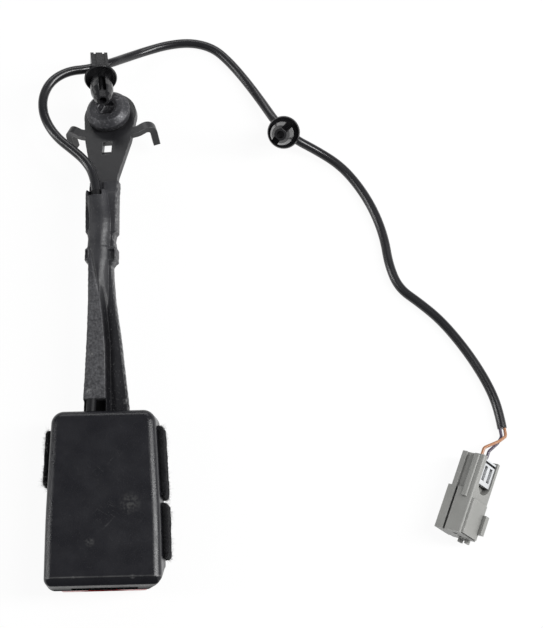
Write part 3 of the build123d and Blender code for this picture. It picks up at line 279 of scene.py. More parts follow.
shell, tree, shader, place = new_material("housing shell", (0.012, 0.012, 0.014), 0.42)
shade = add_grain(tree, shader, place, 2200, 0.30, 0.24, 0.36)
base = mix(tree, shade, (0.006, 0.006, 0.008), (0.012, 0.012, 0.015))
handled = worn_spot(tree, place, scratched_spot, scratched_size)
for turn, amount, grey in shell_scratches:
    lines = use(tree, scratch_group, {"Place": place, "Turn": turn, "Amount": amount})["Mask"]
    base = mix(tree, both(tree, lines, handled), base, (grey, grey, grey))
dust = put(tree, "TexNoise", {"Vector": place, "Scale": 2600.0, "Detail": 2.0}).outputs["Fac"]
handled = worn_spot(tree, place, dusty_spot, dusty_size)
dusty = both(tree, spread(tree, dust, 0, 0.5, 0.66, 0.76), handled)
base = mix(tree, dusty, base, (0.12, 0.12, 0.12))
for spot, size, grey in shell_scuffs:
    base = mix(tree, worn_spot(tree, place, spot, size), base, (grey, grey, grey))
rubs = use(tree, rub_group, {"Place": place, "Radius": 0.0006, "Amount": 0.5})["Mask"]
base = mix(tree, rubs, base, (0.13, 0.13, 0.13))

# a pale line runs along the bend to the lip, partly a rub and partly a painted highlight; the end
# wall under it is dull
along = put(tree, "SeparateXYZ", {"Vector": place}).outputs
crease = both(tree, spread(tree, along["Y"], 0, 1, -0.1026, -0.1023),
              spread(tree, along["Y"], 1, 0, -0.1021, -0.1018))
crease = both(tree, crease, spread(tree, shade, 0.15, 0.9, 0.35, 0.6))
base = mix(tree, crease, base, (0.07, 0.07, 0.07))
polish = both(tree, spread(tree, along["Y"], 0.0, 0.36, -0.1062, -0.1024),
              spread(tree, along["Z"], 0.35, 1, 0.0165, 0.0240))
tree.links.new(polish, shader.inputs["Specular IOR Level"])
tree.links.new(base, shader.inputs["Base Color"])
for node in ("rear_cover", "front_cover"):
    paint(node, shell)

# ---------------------------------------------------------------- press button
# Red moulded tray with the thumb face and two arms into the housing. It is smooth and a little
# glossy, and dulled in patches by use.
button_red, tree, shader, place = new_material("button red", (0.50, 0.02, 0.02), 0.3)
shade = add_grain(tree, shader, place, 1500, 0.06, 0.25, 0.42)
tint(tree, shader, shade, (0.46, 0.015, 0.015), (0.56, 0.035, 0.03))
paint("press_button", button_red)

# ---------------------------------------------------------------- frame and latch work
# Zinc-plated channel and rivet, hardened latch parts with an oily grey skin, springs of drawn
# wire. The two compression springs are wound as wire coils over their CAD parts' length.

# Drawn or pressed metal: long fine lines with the rolling, as a height and a shade.
rolled_group, given, gives = new_group(
    "rolled metal", {"Place": "vector", "Along": "vector"}, {"Height": "value", "Shade": "value"}
)
stretched = put(rolled_group, "Mapping", {"Vector": given["Place"]})
rolled_group.links.new(given["Along"], stretched.inputs["Scale"])
streaks = put(rolled_group, "TexNoise", {"Vector": stretched.outputs["Vector"], "Scale": 1.0,
                                         "Detail": 3.0})
stains = put(rolled_group, "TexNoise", {"Vector": given["Place"], "Scale": 90.0, "Detail": 5.0})
rolled_group.links.new(streaks.outputs["Fac"], gives["Height"])
rolled_group.links.new(stains.outputs["Fac"], gives["Shade"])


def metal_material(name, dark, light, rough_low, rough_high, along):
    """A bare metal: colour and gloss vary with its stains, fine lines run with the rolling."""
    material, tree, shader, place = new_material(name, dark, rough_low, metallic=1.0)
    metal = use(tree, rolled_group, {"Place": place, "Along": along})
    tint(tree, shader, metal["Shade"], dark, light)
    rough = spread(tree, metal["Shade"], rough_low, rough_high, 0.3, 0.7)
    tree.links.new(rough, shader.inputs["Roughness"])
    bump = put(tree, "Bump", {"Height": metal["Height"], "Strength": 0.15, "Distance": 0.0001})
    tree.links.new(bump.outputs["Normal"], shader.inputs["Normal"])
    return material


every_way = (1500, 1500, 1500)
plated = metal_material("zinc plate", (0.42, 0.42, 0.40), (0.60, 0.59, 0.55), 0.28, 0.45,
                        (2500, 90, 2500))
hardened = metal_material("hardened steel", (0.16, 0.155, 0.15), (0.30, 0.29, 0.28), 0.25, 0.42,
                          (90, 2200, 2200))
drawn_wire = metal_material("drawn wire", (0.38, 0.38, 0.39), (0.55, 0.55, 0.56), 0.22, 0.35,
                            every_way)
for node in ("buckle_frame", "strap_rivet"):
    paint(node, plated)
for node in ("latch", "latch_pin", "lock_bar"):
    paint(node, hardened)
paint("latch_spring", drawn_wire)

# millimetres; each compression spring with its joint and that joint's travel
spring_wire_radius = 0.3
spring_turns, steps_per_turn, wire_sides = 9, 24, 10
spring_clear = 0.03
pressed_springs = {"button_spring": ("button_press", 6.0), "ejector_spring": ("ejector_slide", 10.0)}


def new_piece(name, points, faces, material):
    """A smooth mesh object from points in millimetres and faces, at the origin, in the row frame."""
    mesh = bpy.data.meshes.new(name)
    corners = faces.tolist() if isinstance(faces, np.ndarray) else faces
    mesh.from_pydata((points.reshape(-1, 3) * mm).tolist(), [], corners)
    mesh.materials.append(material)
    mesh.polygons.foreach_set("use_smooth", np.ones(len(mesh.polygons), bool))
    piece = bpy.data.objects.new(name, mesh)
    bpy.context.scene.collection.objects.link(piece)
    return piece


def grid_faces(rows, columns, closed=False, start=0, flip=False):
    """Quads of a grid of points, its last column joined to its first where it is closed."""
    row = np.arange(rows - 1)[:, None]
    column = np.arange(columns if closed else columns - 1)[None, :]
    after = (column + 1) % columns
    here, there = row * columns, (row + 1) * columns
    quads = np.stack([here + column, here + after, there + after, there + column], -1)
    quads = quads.reshape(-1, 4) + start
    return quads[:, ::-1] if flip else quads


def weld(piece, reach=1e-6):
    """Joins points that coincide, and turns all faces outwards."""
    shape = bmesh.new()
    shape.from_mesh(piece.data)
    bmesh.ops.remove_doubles(shape, verts=shape.verts, dist=reach)
    bmesh.ops.recalc_face_normals(shape, faces=shape.faces)
    shape.to_mesh(piece.data)
    shape.free()


def spring_mesh(centre, radius, low, high):
    """Points and faces of a compression spring along Y, from low to high, with closed end turns.

    Its middle line goes round a circle of that radius. Over the first and the last turn it rises
    by just over the wire's thickness, and it rises evenly between them. Round the line, points lie
    on a circle of the wire's radius, square to it, and a fan closes each end.
    """
    turn = np.linspace(0, spring_turns, steps_per_turn * spring_turns + 1)
    closed = 2.06 * spring_wire_radius
    start, stop = low + spring_wire_radius, high - spring_wire_radius
    rise = np.interp(turn, [0, 1, spring_turns - 1, spring_turns],
                     [start, start + closed, stop - closed, stop])
    out = np.stack([np.cos(2 * np.pi * turn), np.zeros_like(turn), np.sin(2 * np.pi * turn)], axis=1)
    line = np.array([centre[0], 0, centre[1]]) + radius * out
    line[:, 1] = rise
    ahead = np.gradient(line, axis=0)
    ahead /= np.linalg.norm(ahead, axis=1)[:, None]
    across = np.cross(ahead, out)
    bend = np.linspace(0, 2 * np.pi, wire_sides, endpoint=False)[None, :, None]
    round_wire = np.cos(bend) * out[:, None] + np.sin(bend) * across[:, None]
    rings = line[:, None] + spring_wire_radius * round_wire
    points = np.concatenate([rings.reshape(-1, 3), line[:1], line[-1:]])
    side = np.arange(wire_sides)
    after, end = (side + 1) % wire_sides, wire_sides * (len(turn) - 1)
    first_fan = np.stack([0 * side + len(points) - 2, after, side], 1)
    last_fan = np.stack([0 * side + len(points) - 1, end + side, end + after], 1)
    tube = grid_faces(len(turn), wire_sides, closed=True)
    return points, [*tube.tolist(), *first_fan.tolist(), *last_fan.tolist()]


for node, (joint, travel) in pressed_springs.items():
    low, high = (np.array(corner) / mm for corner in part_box(node))
    still_end, moved_end = high[1] + spring_wire_radius, low[1] - spring_wire_radius
    middle = (low + high) / 2
    points, faces = spring_mesh((middle[0], middle[2]), (high[0] - low[0]) / 2 - spring_wire_radius,
                                moved_end + spring_clear, still_end - spring_clear)
    spring = new_piece(node + "_wire", points, faces, drawn_wire)
    weld(spring)
    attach(spring, "buckle")
    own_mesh(spring)
    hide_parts(node)

# ---------------------------------------------------------------- ejector and switch
# Small inner mouldings in dark acetal and nylon: the slide that pushes the tongue out, and the
# belt switch with its two thin wires.
inner, tree, shader, place = new_material("inner moulding", (0.05, 0.05, 0.055), 0.45)
shade = add_grain(tree, shader, place, 1800, 0.1, 0.38, 0.55)
tint(tree, shader, shade, (0.040, 0.040, 0.044), (0.075, 0.075, 0.08))
for node in ("ejector", "buckle_switch"):
    paint(node, inner)

wire_black, tree, shader, place = new_material("inner wire", (0.05, 0.05, 0.05), 0.35)
shade = add_grain(tree, shader, place, 1200, 0.08, 0.28, 0.45)
tint(tree, shader, shade, (0.04, 0.04, 0.04), (0.09, 0.09, 0.09))
paint("switch_wires", wire_black)

# ---------------------------------------------------------------- felt pads
# Strips of needled black felt, glued to the side walls so that the buckle doesn't rattle. Their
# cut edges are ragged, loose fibres stand off them, and pale lint has caught on the left one.

# Lengths in millimetres.
felt_thick, felt_glue = 2.5, 0.03
felt_low, felt_high = 5.0, 20.5
felt_rows, felt_columns = 72, 110
felt_ragged, felt_lumps = 0.34, 0.12
wall_ends, wall_halves = (-106.3, -78.0, -34.3), (24.3, 23.9, 21.8)
wall_draft = math.tan(math.radians(4.0))
parting_height = 12.4
fibre_rings, fibre_sides = 4, 3
felt_ends = {
    "felt_pad_left": (-1, -64.6, -41.6),
    "felt_pad_right_upper": (1, -70.4, -40.6),
    "felt_pad_right_lower": (1, -94.6, -72.4),
}


def wall_at(y, z):
    """Half width of the housing: it grows to the button end and shrinks off the parting line."""
    return np.interp(y, wall_ends, wall_halves) - np.abs(z - parting_height) * wall_draft


def ripple(a, b, seed, waves=14, fine=1.0):
    """Soft unevenness over two distances: the mean of sine waves of random direction and phase."""
    source = np.random.default_rng(seed)
    ka, kb = source.normal(0, fine, (2, waves))
    phase = source.uniform(0, 2 * np.pi, waves)
    return np.sin(a[..., None] * ka + b[..., None] * kb + phase).mean(-1) * 1.6


def felt_surface(y_from, y_to, u, v, seed):
    """Points of a pad, as y, z and height over the wall, from u and v between -1 and 1.

    The outline is a rectangle whose corners are pulled in, and waves make its edges ragged. The
    height is flat in the middle and falls steeply to none at the edge, with lumps of two sizes.
    """
    middle, half = (y_from + y_to) / 2, (y_to - y_from) / 2
    mid_z, half_z = (felt_low + felt_high) / 2, (felt_high - felt_low) / 2
    corner = 0.16 * (np.abs(u) * np.abs(v)) ** 10
    ends = felt_ragged * ripple(u * half, v * half_z, seed, fine=2.0) * np.abs(u) ** 6
    sides = felt_ragged * ripple(v * half_z, u * half, seed + 1, fine=2.0) * np.abs(v) ** 6
    y = middle + half * u * (1 - corner) + ends
    z = mid_z + half_z * v * (1 - corner) + sides
    crown = ((1 - np.abs(u) ** 16) * (1 - np.abs(v) ** 14)) ** 0.4
    large = felt_lumps * ripple(y, z, seed + 2, fine=1.1)
    small = felt_lumps * ripple(y, z, seed + 3, waves=30, fine=5.0)
    height = felt_thick * 0.95 * crown * (1 + large + small)
    return y, z, height


def felt_pad(name, side, y_from, y_to, seed, material):
    """A closed pad: its crown, and its glued back on the wall, meeting at the edge."""
    v, u = np.meshgrid(np.linspace(-1, 1, felt_rows), np.linspace(-1, 1, felt_columns),
                       indexing="ij")
    y, z, height = felt_surface(y_from, y_to, u, v, seed)
    front = np.stack([side * (wall_at(y, z) + felt_glue + height), y, z], -1)
    back = np.stack([side * (wall_at(y, z) + felt_glue), y, z], -1)
    faces = np.vstack([grid_faces(felt_rows, felt_columns),
                       grid_faces(felt_rows, felt_columns, start=u.size, flip=True)])
    points = np.concatenate([front.reshape(-1, 3), back.reshape(-1, 3)])
    pad = new_piece(name, points, faces, material)
    weld(pad)
    return pad


def fibres(name, roots, outwards, lengths, radius, seed, material):
    """Loose fibres: thin tubes of few sides that leave their roots outwards and bend over.

    A fibre's line is its root, plus its outward direction times the distance, plus a random
    direction times the distance squared. Its radius shrinks evenly to less than a third.
    """
    source = np.random.default_rng(seed)
    count, corners = len(roots), fibre_rings * fibre_sides
    bend = source.normal(0, 1, (count, 3))
    step = np.linspace(0, 1, fibre_rings)[None, :, None]
    way = outwards[:, None] * step + 0.55 * bend[:, None] * step ** 2
    path = roots[:, None] + lengths[:, None, None] * way
    turn = np.linspace(0, 2 * np.pi, fibre_sides, endpoint=False)[None, None, :, None]
    side_a = np.cross(outwards, bend)
    side_a /= np.linalg.norm(side_a, axis=1, keepdims=True)
    side_b = np.cross(outwards, side_a)
    around = side_a[:, None, None] * np.cos(turn) + side_b[:, None, None] * np.sin(turn)
    taper = radius * (1 - 0.7 * step[..., None])
    points = path[:, :, None] + around * taper
    first = (np.arange(count) * corners)[:, None, None]
    tubes = (grid_faces(fibre_rings, fibre_sides, closed=True)[None] + first).reshape(-1, 4)
    ends = np.array([[0, 2, 1], [corners - 3, corners - 2, corners - 1]])
    caps = (ends[None] + first).reshape(-1, 3)
    return new_piece(name, points, [*tubes.tolist(), *caps.tolist()], material)


def loose_on(name, side, y_from, y_to, count, seed, reach, radius, material):
    """Fibres rooted at random places of a pad, most of them near its edges."""
    source = np.random.default_rng(seed)
    u, v = source.uniform(-1, 1, (2, count))
    u = np.sign(u) * np.abs(u) ** 0.5
    v = np.sign(v) * np.abs(v) ** 0.4
    y, z, height = felt_surface(y_from, y_to, u, v, seed)
    roots = np.stack([side * (wall_at(y, z) + height * 0.8), y, z], -1)
    over_end, over_side = 0.8 * np.abs(u) ** 8 * np.sign(u), 0.9 * np.abs(v) ** 6 * np.sign(v)
    outwards = np.stack([np.full(count, 1.0 * side), over_end, over_side], -1)
    outwards += source.normal(0, 0.25, (count, 3))
    outwards /= np.linalg.norm(outwards, axis=1, keepdims=True)
    lengths = source.uniform(0.3, 1.0, count) * reach
    return fibres(name, roots, outwards, lengths, radius, seed, material)


felt, tree, shader, place = new_material("black felt", (0.012, 0.012, 0.013), 0.95)
shade = add_grain(tree, shader, place, 1500, 0.9, 0.9, 1.0, distance=0.0004)
tint(tree, shader, shade, (0.003, 0.003, 0.004), (0.012, 0.012, 0.013))
shader.inputs["Sheen Weight"].default_value = 0.04
shader.inputs["Specular IOR Level"].default_value = 0.1
shader.inputs["Sheen Roughness"].default_value = 0.5
fibre_black, tree, shader, place = new_material("felt fibre", (0.03, 0.03, 0.032), 0.8)
tone = put(tree, "TexNoise", {"Vector": place, "Scale": 900.0}).outputs["Fac"]
tint(tree, shader, tone, (0.004, 0.004, 0.005), (0.06, 0.06, 0.065))
for number, (node, (side, y_from, y_to)) in enumerate(felt_ends.items()):
    pad = felt_pad(node + "_felt", side, y_from, y_to, 10 + number, felt)
    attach(pad, "buckle")
    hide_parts(node)
    fuzz = loose_on(node + "_fibres", side, y_from, y_to, count=2000, seed=20 + number, reach=1.1,
                    radius=0.032, material=fibre_black)
    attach(fuzz, "buckle")

lint_pale, tree, shader, place = new_material("caught lint", (0.35, 0.35, 0.34), 0.85)
tone = put(tree, "TexNoise", {"Vector": place, "Scale": 700.0}).outputs["Fac"]
tint(tree, shader, tone, (0.16, 0.16, 0.16), (0.45, 0.45, 0.44))
lint = loose_on("felt_pad_left_lint", -1, -64.6, -46.0, count=420, seed=31, reach=1.4,
                radius=0.045, material=lint_pale)
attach(lint, "buckle")

# ---------------------------------------------------------------- anchor strap
# Pressed 3 mm steel strap that ends in the bolt's plate with its two bent ears. It has a satin
# black dip coat, worn to grey along its sheared edges.
coated, tree, shader, place = new_material("strap coating", (0.02, 0.02, 0.021), 0.36)
shader.inputs["Specular IOR Level"].default_value = 0.4
shade = add_grain(tree, shader, place, 1400, 0.16, 0.26, 0.42)
base = mix(tree, shade, (0.008, 0.008, 0.009), (0.020, 0.020, 0.022))
rubs = use(tree, rub_group, {"Place": place, "Radius": 0.0005, "Amount": 0.7})["Mask"]
tint(tree, shader, rubs, base, (0.20, 0.20, 0.20))
paint("anchor_strap", coated)

# ---------------------------------------------------------------- anchor bolt
# Forged 7/16 inch bolt with a hexagon socket and a rolled thread of 20 turns to the inch, held in
# the plate by two washers. Dark phosphate skin, speckled, and rubbed pale round the head.

# Lengths in millimetres, heights from the middle of the plate.
bolt_middle = np.array((1.7, 96.6, 16.0))
bolt_axis = np.array((-0.13985628, 0.2215724, 0.96506263))
bolt_side = np.cross((0.0, 1.0, 0.0), bolt_axis)
bolt_side /= np.linalg.norm(bolt_side)
bolt_up = np.cross(bolt_axis, bolt_side)
socket_half = 3.5
socket_floor, head_top, head_flat = 4.0, 8.2, 7.4
head_radius, head_low, head_shoulder = 9.5, 3.0, 5.8
shoulder_radius, shoulder_low = 5.92, -2.9
thread_radius, thread_depth, thread_pitch = 5.5, 0.72, 1.27
thread_high, bolt_tip = -3.6, -15.4


def about_bolt(radius, height, turn):
    """Points round the bolt's axis, from their radius, height over the plate's middle, and turn."""
    out = bolt_side * np.cos(turn)[..., None] + bolt_up * np.sin(turn)[..., None]
    return bolt_middle + bolt_axis * height[..., None] + radius[..., None] * out


def hexagon(turn):
    """Distance from the middle of a hexagon to its side, over half its width across flats."""
    return 1 / np.cos((turn % (np.pi / 3)) - np.pi / 6)


# The bolt is one profile, from the socket's floor over the head and down to the tip, carried round
# the axis. The socket's radius follows a hexagon, and the shank's sinks and rises with a helix.
turn = np.linspace(0, 2 * np.pi, 144, endpoint=False)
socket = [(0.001, socket_floor - 0.5), (0.6 * socket_half, socket_floor),
          (socket_half, socket_floor), (socket_half, socket_floor + 0.1),
          (socket_half, head_top - 0.35), (socket_half, head_top - 0.3)]
head = [(4.45, head_top), (4.6, head_top), (head_flat - 0.5, head_top - 0.02),
        (head_flat - 0.1, head_top - 0.06), (head_flat + 0.12, head_top - 0.2),
        (head_radius - 0.25, head_shoulder + 0.25), (head_radius - 0.04, head_shoulder),
        (head_radius, head_shoulder - 0.25), (head_radius, head_low + 0.35),
        (head_radius - 0.1, head_low + 0.1), (head_radius - 0.35, head_low),
        (shoulder_radius + 0.2, head_low), (shoulder_radius, head_low - 0.2),
        (shoulder_radius, shoulder_low + 0.2), (shoulder_radius - 0.15, shoulder_low),
        (thread_radius, shoulder_low - 0.1), (thread_radius, thread_high)]
thread = [(thread_radius, h) for h in np.arange(thread_high - 0.1, bolt_tip + 1.0, -0.1)]
tip = [(thread_radius - 0.55, bolt_tip + 0.3), (thread_radius - 0.9, bolt_tip + 0.05),
       (thread_radius - 1.3, bolt_tip), (0.001, bolt_tip)]
profile = np.array(socket + head + thread + tip)
radius = np.repeat(profile[:, :1], len(turn), 1)
height = np.repeat(profile[:, 1:], len(turn), 1)
radius[1:len(socket)] *= hexagon(turn)
first = len(socket) + len(head)
rows = slice(first, first + len(thread))
down = height[rows]
wave = np.abs(((down / thread_pitch + turn / (2 * np.pi)) % 1) - 0.5) * 2
fade = np.clip((thread_high - down) / 1.2, 0, 1) * np.clip((down - bolt_tip) / 0.8, 0, 1)
radius[rows] -= thread_depth * np.clip(wave * 1.25 - 0.12, 0, 1) * fade
chamfer = thread_radius - 0.6 * np.clip(bolt_tip + 1.7 - down, 0, 1)
radius[rows] = np.minimum(radius[rows], chamfer)

phosphate, tree, shader, place = new_material("bolt phosphate", (0.05, 0.05, 0.052), 0.45,
                                              metallic=0.35)
shade = add_grain(tree, shader, place, 1300, 0.35, 0.36, 0.58)
specks = put(tree, "TexNoise", {"Vector": place, "Scale": 1100.0, "Detail": 5.0, "Roughness": 0.7})
speckled = spread(tree, specks.outputs["Fac"], 0, 1, 0.55, 0.72)
base = mix(tree, speckled, (0.034, 0.034, 0.038), (0.22, 0.22, 0.23))
rubs = use(tree, rub_group, {"Place": place, "Radius": 0.0011, "Amount": 0.9})["Mask"]
tint(tree, shader, rubs, base, (0.36, 0.36, 0.37))
bolt = new_piece("anchor_bolt_forged", about_bolt(radius, height, turn),
                 grid_faces(len(profile), len(turn), closed=True), phosphate)
weld(bolt, 3e-6)
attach(bolt, "bolt")
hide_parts("anchor_bolt")
washer_steel = metal_material("washer steel", (0.06, 0.06, 0.06), (0.14, 0.14, 0.14), 0.35, 0.5,
                              every_way)
for node in ("wave_washer", "retaining_washer"):
    paint(node, washer_steel)

# ---------------------------------------------------------------- sleeve
# Black moulding snapped round the strap: a tunnel for the wires on the left, a collar with two
# lobes, a waist, and a rounded socket that the cable leaves. Its edges carry rough parting flash.

# Lengths in millimetres. The strap's middle line and twist come first, then the sleeve's edges, its
# low upper side, the crease beside the tunnel, and the lead, each against the distance along Y.
strap_y = (-58.5, -38.0, -19.0, 0.0, 22.0, 44.0, 62.0)
strap_x = (0.0, 0.2, 0.5, 0.1, -0.9, -1.1, 0.0)
strap_z = (17.1, 17.1, 18.3, 19.8, 21.5, 23.2, 23.5)
strap_roll = (0.0, 0.0, 1.0, 2.5, 5.0, 8.0, 8.7)
sleeve_under = 2.9
edge_y = (-38.8, -32.5, -21.0, -4.4, 12.5, 20.9, 26.6, 27.9, 28.6,
          33.6, 34.4, 37.8, 40.0, 41.0, 57.6, 58.6, 59.4, 63.4)
left_edge = (-8.9, -8.7, -7.9, -6.9, -6.1, -5.9, -5.8, -6.6, -7.5,
             -7.5, -6.5, -6.2, -6.6, -7.3, -7.3, -7.0, -6.2, -6.1)
right_edge = (10.0, 9.8, 8.5, 6.7, 4.4, 3.7, 3.5, 4.4, 5.4,
              5.6, 4.9, 4.3, 4.7, 5.7, 5.9, 5.9, 6.1, 6.2)
low_top = (2.7, 2.7, 2.7, 2.7, 2.7, 2.7, 2.9, 3.5, 3.9,
           3.9, 3.3, 2.9, 3.2, 3.6, 3.6, 3.2, 2.5, 2.4)
crease_y = (-39.0, -29.6, -8.2, 4.0, 15.7, 31.0, 38.0)
crease_x = (0.6, 0.6, 0.5, -0.4, -1.7, -4.5, -5.6)
lead_y, lead_x = (-42.0, -10.0, 22.0, 46.0, 59.0), (-6.0, -3.8, -3.0, -1.5, -3.2)
tunnel_start, mouth = -29.8, 59.0
tunnel_top, dome_half = 6.7, 4.7
collar, upper_band, pocket_ends = (29.2, 33.0), (42.0, 56.6), (29.0, 32.9)
edge_flash, top_lumps, top_round, side_bulge = 0.10, 0.05, 0.45, 0.18
sleeve_rings, top_points, side_points, under_points = 420, 72, 12, 24


def ease(value, start, end):
    """Rises smoothly from none at the start to one at the end."""
    share = np.clip((value - start) / (end - start), 0, 1)
    return share * share * (3 - 2 * share)


def within(value, low, high, soft=0.35):
    """One between two bounds, falling to none over a soft edge."""
    return ease(value, low - soft, low + soft) * (1 - ease(value, high - soft, high + soft))


def sleeve_top(x, y, left, low):
    """Height of the upper side over the strap's middle, from the place across and along it.

    Left of a crease stands the flat tunnel, which sinks a little to the left and fades past the
    waist, where a dome over the lead takes its place: the two are joined so that one hides the
    other. From that height are taken a groove along the crease, a band beside the left edge, and
    a pocket. The mouth has a notch, and the tunnel's first end is cut down to the strap.
    """
    crease = np.interp(y, crease_y, crease_x)
    over_lead = np.interp(y, lead_y, lead_x) + 0.3
    tunnel = 1 - ease(x, crease - 0.2, crease + 2.2)
    tunnel = tunnel * (1 - 0.22 * np.clip((crease - x) / 8.0, 0, 1))
    tunnel = tunnel * (1 - 0.75 * ease(y, 24.0, 34.0))
    dome = np.clip(1 - np.abs((x - over_lead) / dome_half) ** 2.4, 0, 1) ** 0.7
    share = ease(y, 6.0, 22.0)
    height = low + (tunnel_top - low) * (1 - (1 - tunnel) * (1 - share * dome))
    height -= 0.45 * np.exp(-((x - crease) / 0.45) ** 2) * within(y, 14.0, 33.0, 3.0)
    beside_edge = ease(x, left + 0.25, left + 0.5)
    band = within(y, *upper_band) * (1 - ease(x, left + 1.7, left + 2.1)) * beside_edge
    band += within(y, *collar) * (1 - ease(x, left + 1.5, left + 1.9)) * beside_edge
    pocket = within(y, *pocket_ends, 0.25) * within(x, 2.5, 4.7, 0.25)
    height -= 0.8 * band + 1.4 * pocket
    notch = ease(y, 56.4, 57.2) * within(x, -6.0, -0.2, 0.4)
    height = np.where(y > mouth + 0.2, np.minimum(height, low), height)
    height = height + notch * (np.minimum(height, 2.0) - height)
    open_end = 1 - ease(y, tunnel_start - 0.5, tunnel_start + 0.1)
    open_end = open_end * (1 - ease(x, crease - 0.2, crease + 0.4))
    return height + open_end * (1.9 - height)


def sleeve_section(y, left, right):
    """Rings across the strap: the upper side from right to left, down, the flat underside, and up.

    Both edges of the upper side are rounded over, and the two walls bulge by a half sine.
    """
    low = np.interp(y, edge_y, low_top)
    share = np.linspace(0, 1, top_points)[None, :]
    x = right + (left - right) * share
    lumps = ripple(x + 0 * y, y + 0 * x, 43, waves=30, fine=1.6)
    top = sleeve_top(x, y, left, low) + top_lumps * lumps
    top = top - top_round * (1 - ease(np.minimum(share, 1 - share), 0.0, 0.035))
    side = np.linspace(0, 1, side_points)[None, 1:-1]
    bulge = side_bulge * np.sin(np.pi * side)
    falling = top[:, -1:] + (-sleeve_under - top[:, -1:]) * side
    rising = -sleeve_under + (top[:, :1] + sleeve_under) * side
    back = np.linspace(0, 1, under_points)[None, :]
    down = np.stack(np.broadcast_arrays(left - bulge, falling), -1)
    flat = 0 * back - sleeve_under + 0 * y
    under = np.stack(np.broadcast_arrays(left + (right - left) * back, flat), -1)
    up = np.stack(np.broadcast_arrays(right + bulge, rising), -1)
    return np.concatenate([np.stack([x, top], -1), down, under, up], 1)


def sleeve_wear_and_painted_light(x, over, y, left, right, crease):
    """Masks for the sleeve's material: worn edges, painted light on the tunnel, painted shade by the
    crease.

    Wear is a bell curve about each edge and each band's rim, on the upper half. The tunnel gets
    painted light up to the waist. The painted shade is darkest just right of the crease and fades
    along the sleeve, and a little more painted shade lies near the housing end.
    """
    edge = np.minimum(np.abs(x - left), np.abs(x - right))
    wear = np.exp(-(edge / 0.3) ** 2) * (over > 0)
    rim = np.exp(-((x - left - 1.9) / 0.25) ** 2) * (over > 0)
    wear = np.maximum(wear, 0.8 * rim * (within(y, *upper_band) + within(y, *collar)))
    painted_light = within(x, left + 0.6, crease + 0.2, 0.5) * (1 - ease(y, 16.0, 30.0)) * (over > 3)
    painted_shade = ease(x, crease - 0.4, crease + 0.5) * (1 - 0.55 * ease(x, crease + 2.0, crease + 5.0))
    painted_shade = painted_shade * (1 - ease(y, -4.0, 34.0)) + 0.35 * (1 - ease(y, -34.0, -12.0))
    return np.stack([wear, painted_light, painted_shade], -1)


def sleeve_mesh():
    """Points, faces, and masks of wear, painted light and painted shade: rings moved and rolled with
    the strap.
    """
    y = np.linspace(edge_y[0], edge_y[-1], sleeve_rings)[:, None]
    left = np.interp(y, edge_y, left_edge) + edge_flash * ripple(y, 0 * y, 41, fine=2.2)
    right = np.interp(y, edge_y, right_edge) + edge_flash * ripple(y, 0 * y, 42, fine=2.2)
    ring = sleeve_section(y, left, right)
    x, over = ring[..., 0], ring[..., 1]
    middle_x, middle_z = np.interp(y, strap_y, strap_x), np.interp(y, strap_y, strap_z)
    roll = np.radians(np.interp(y, strap_y, strap_roll))
    aside = x - middle_x
    points = np.stack([middle_x + aside * np.cos(roll) - over * np.sin(roll), y + 0 * aside,
                       middle_z + aside * np.sin(roll) + over * np.cos(roll)], -1)
    wear_and_painted_light = sleeve_wear_and_painted_light(x, over, y, left, right, np.interp(y, crease_y, crease_x))
    rows, columns = x.shape
    caps = [list(range(columns)), list(range(rows * columns - 1, (rows - 1) * columns - 1, -1))]
    return points, grid_faces(rows, columns, closed=True).tolist() + caps, wear_and_painted_light


# scuffs on the sleeve: place, size in metres and shade
sleeve_scuffs = [
    ((-0.0062, -0.0268, 0.0237), 0.0016, 0.17),
    ((-0.0069, -0.0298, 0.0230), 0.0012, 0.12),
    ((-0.0050, -0.0114, 0.0249), 0.0010, 0.13),
    ((-0.0032, -0.0256, 0.0242), 0.0011, 0.10),
    ((0.0086, -0.0305, 0.0203), 0.0014, 0.10),
]

moulded, tree, shader, place = new_material("sleeve moulding", (0.03, 0.03, 0.032), 0.5)
shade = add_grain(tree, shader, place, 1500, 0.28, 0.30, 0.50, distance=0.0003)
base = mix(tree, shade, (0.012, 0.012, 0.014), (0.034, 0.034, 0.038))
along = put(tree, "SeparateXYZ", {"Vector": place}).outputs
wear_and_painted_light = put(tree, "Attribute", attribute_name="wear_and_painted_light")
wear_and_painted_light = put(tree, "SeparateXYZ", {"Vector": wear_and_painted_light.outputs["Vector"]}).outputs
# painted shade: darker on the deep side of the crease and near the housing end
base = mix(tree, wear_and_painted_light["Z"], base, (0.005, 0.005, 0.006))
mottle = put(tree, "TexNoise", {"Vector": place, "Scale": 950.0, "Detail": 4.0, "Roughness": 0.65})
mottle = spread(tree, mottle.outputs["Fac"], 0, 1, 0.36, 0.64)
# painted light: the tunnel's left facet is lighter, with a mottle
base = mix(tree, wear_and_painted_light["Y"], base, mix(tree, mottle, (0.020, 0.020, 0.022), (0.076, 0.076, 0.081)))
specks = put(tree, "TexNoise", {"Vector": place, "Scale": 1400.0, "Detail": 5.0, "Roughness": 0.7})
speckled = spread(tree, specks.outputs["Fac"], 0, 0.9, 0.60, 0.72)
base = mix(tree, speckled, base, (0.12, 0.12, 0.12))
breaks = put(tree, "TexNoise", {"Vector": place, "Scale": 700.0, "Detail": 4.0}).outputs["Fac"]
worn = both(tree, wear_and_painted_light["X"], spread(tree, breaks, 0, 0.6, 0.50, 0.66))
base = mix(tree, worn, base, (0.20, 0.20, 0.20))
for spot, size, grey in sleeve_scuffs:
    base = mix(tree, worn_spot(tree, place, spot, size), base, (grey, grey, grey))
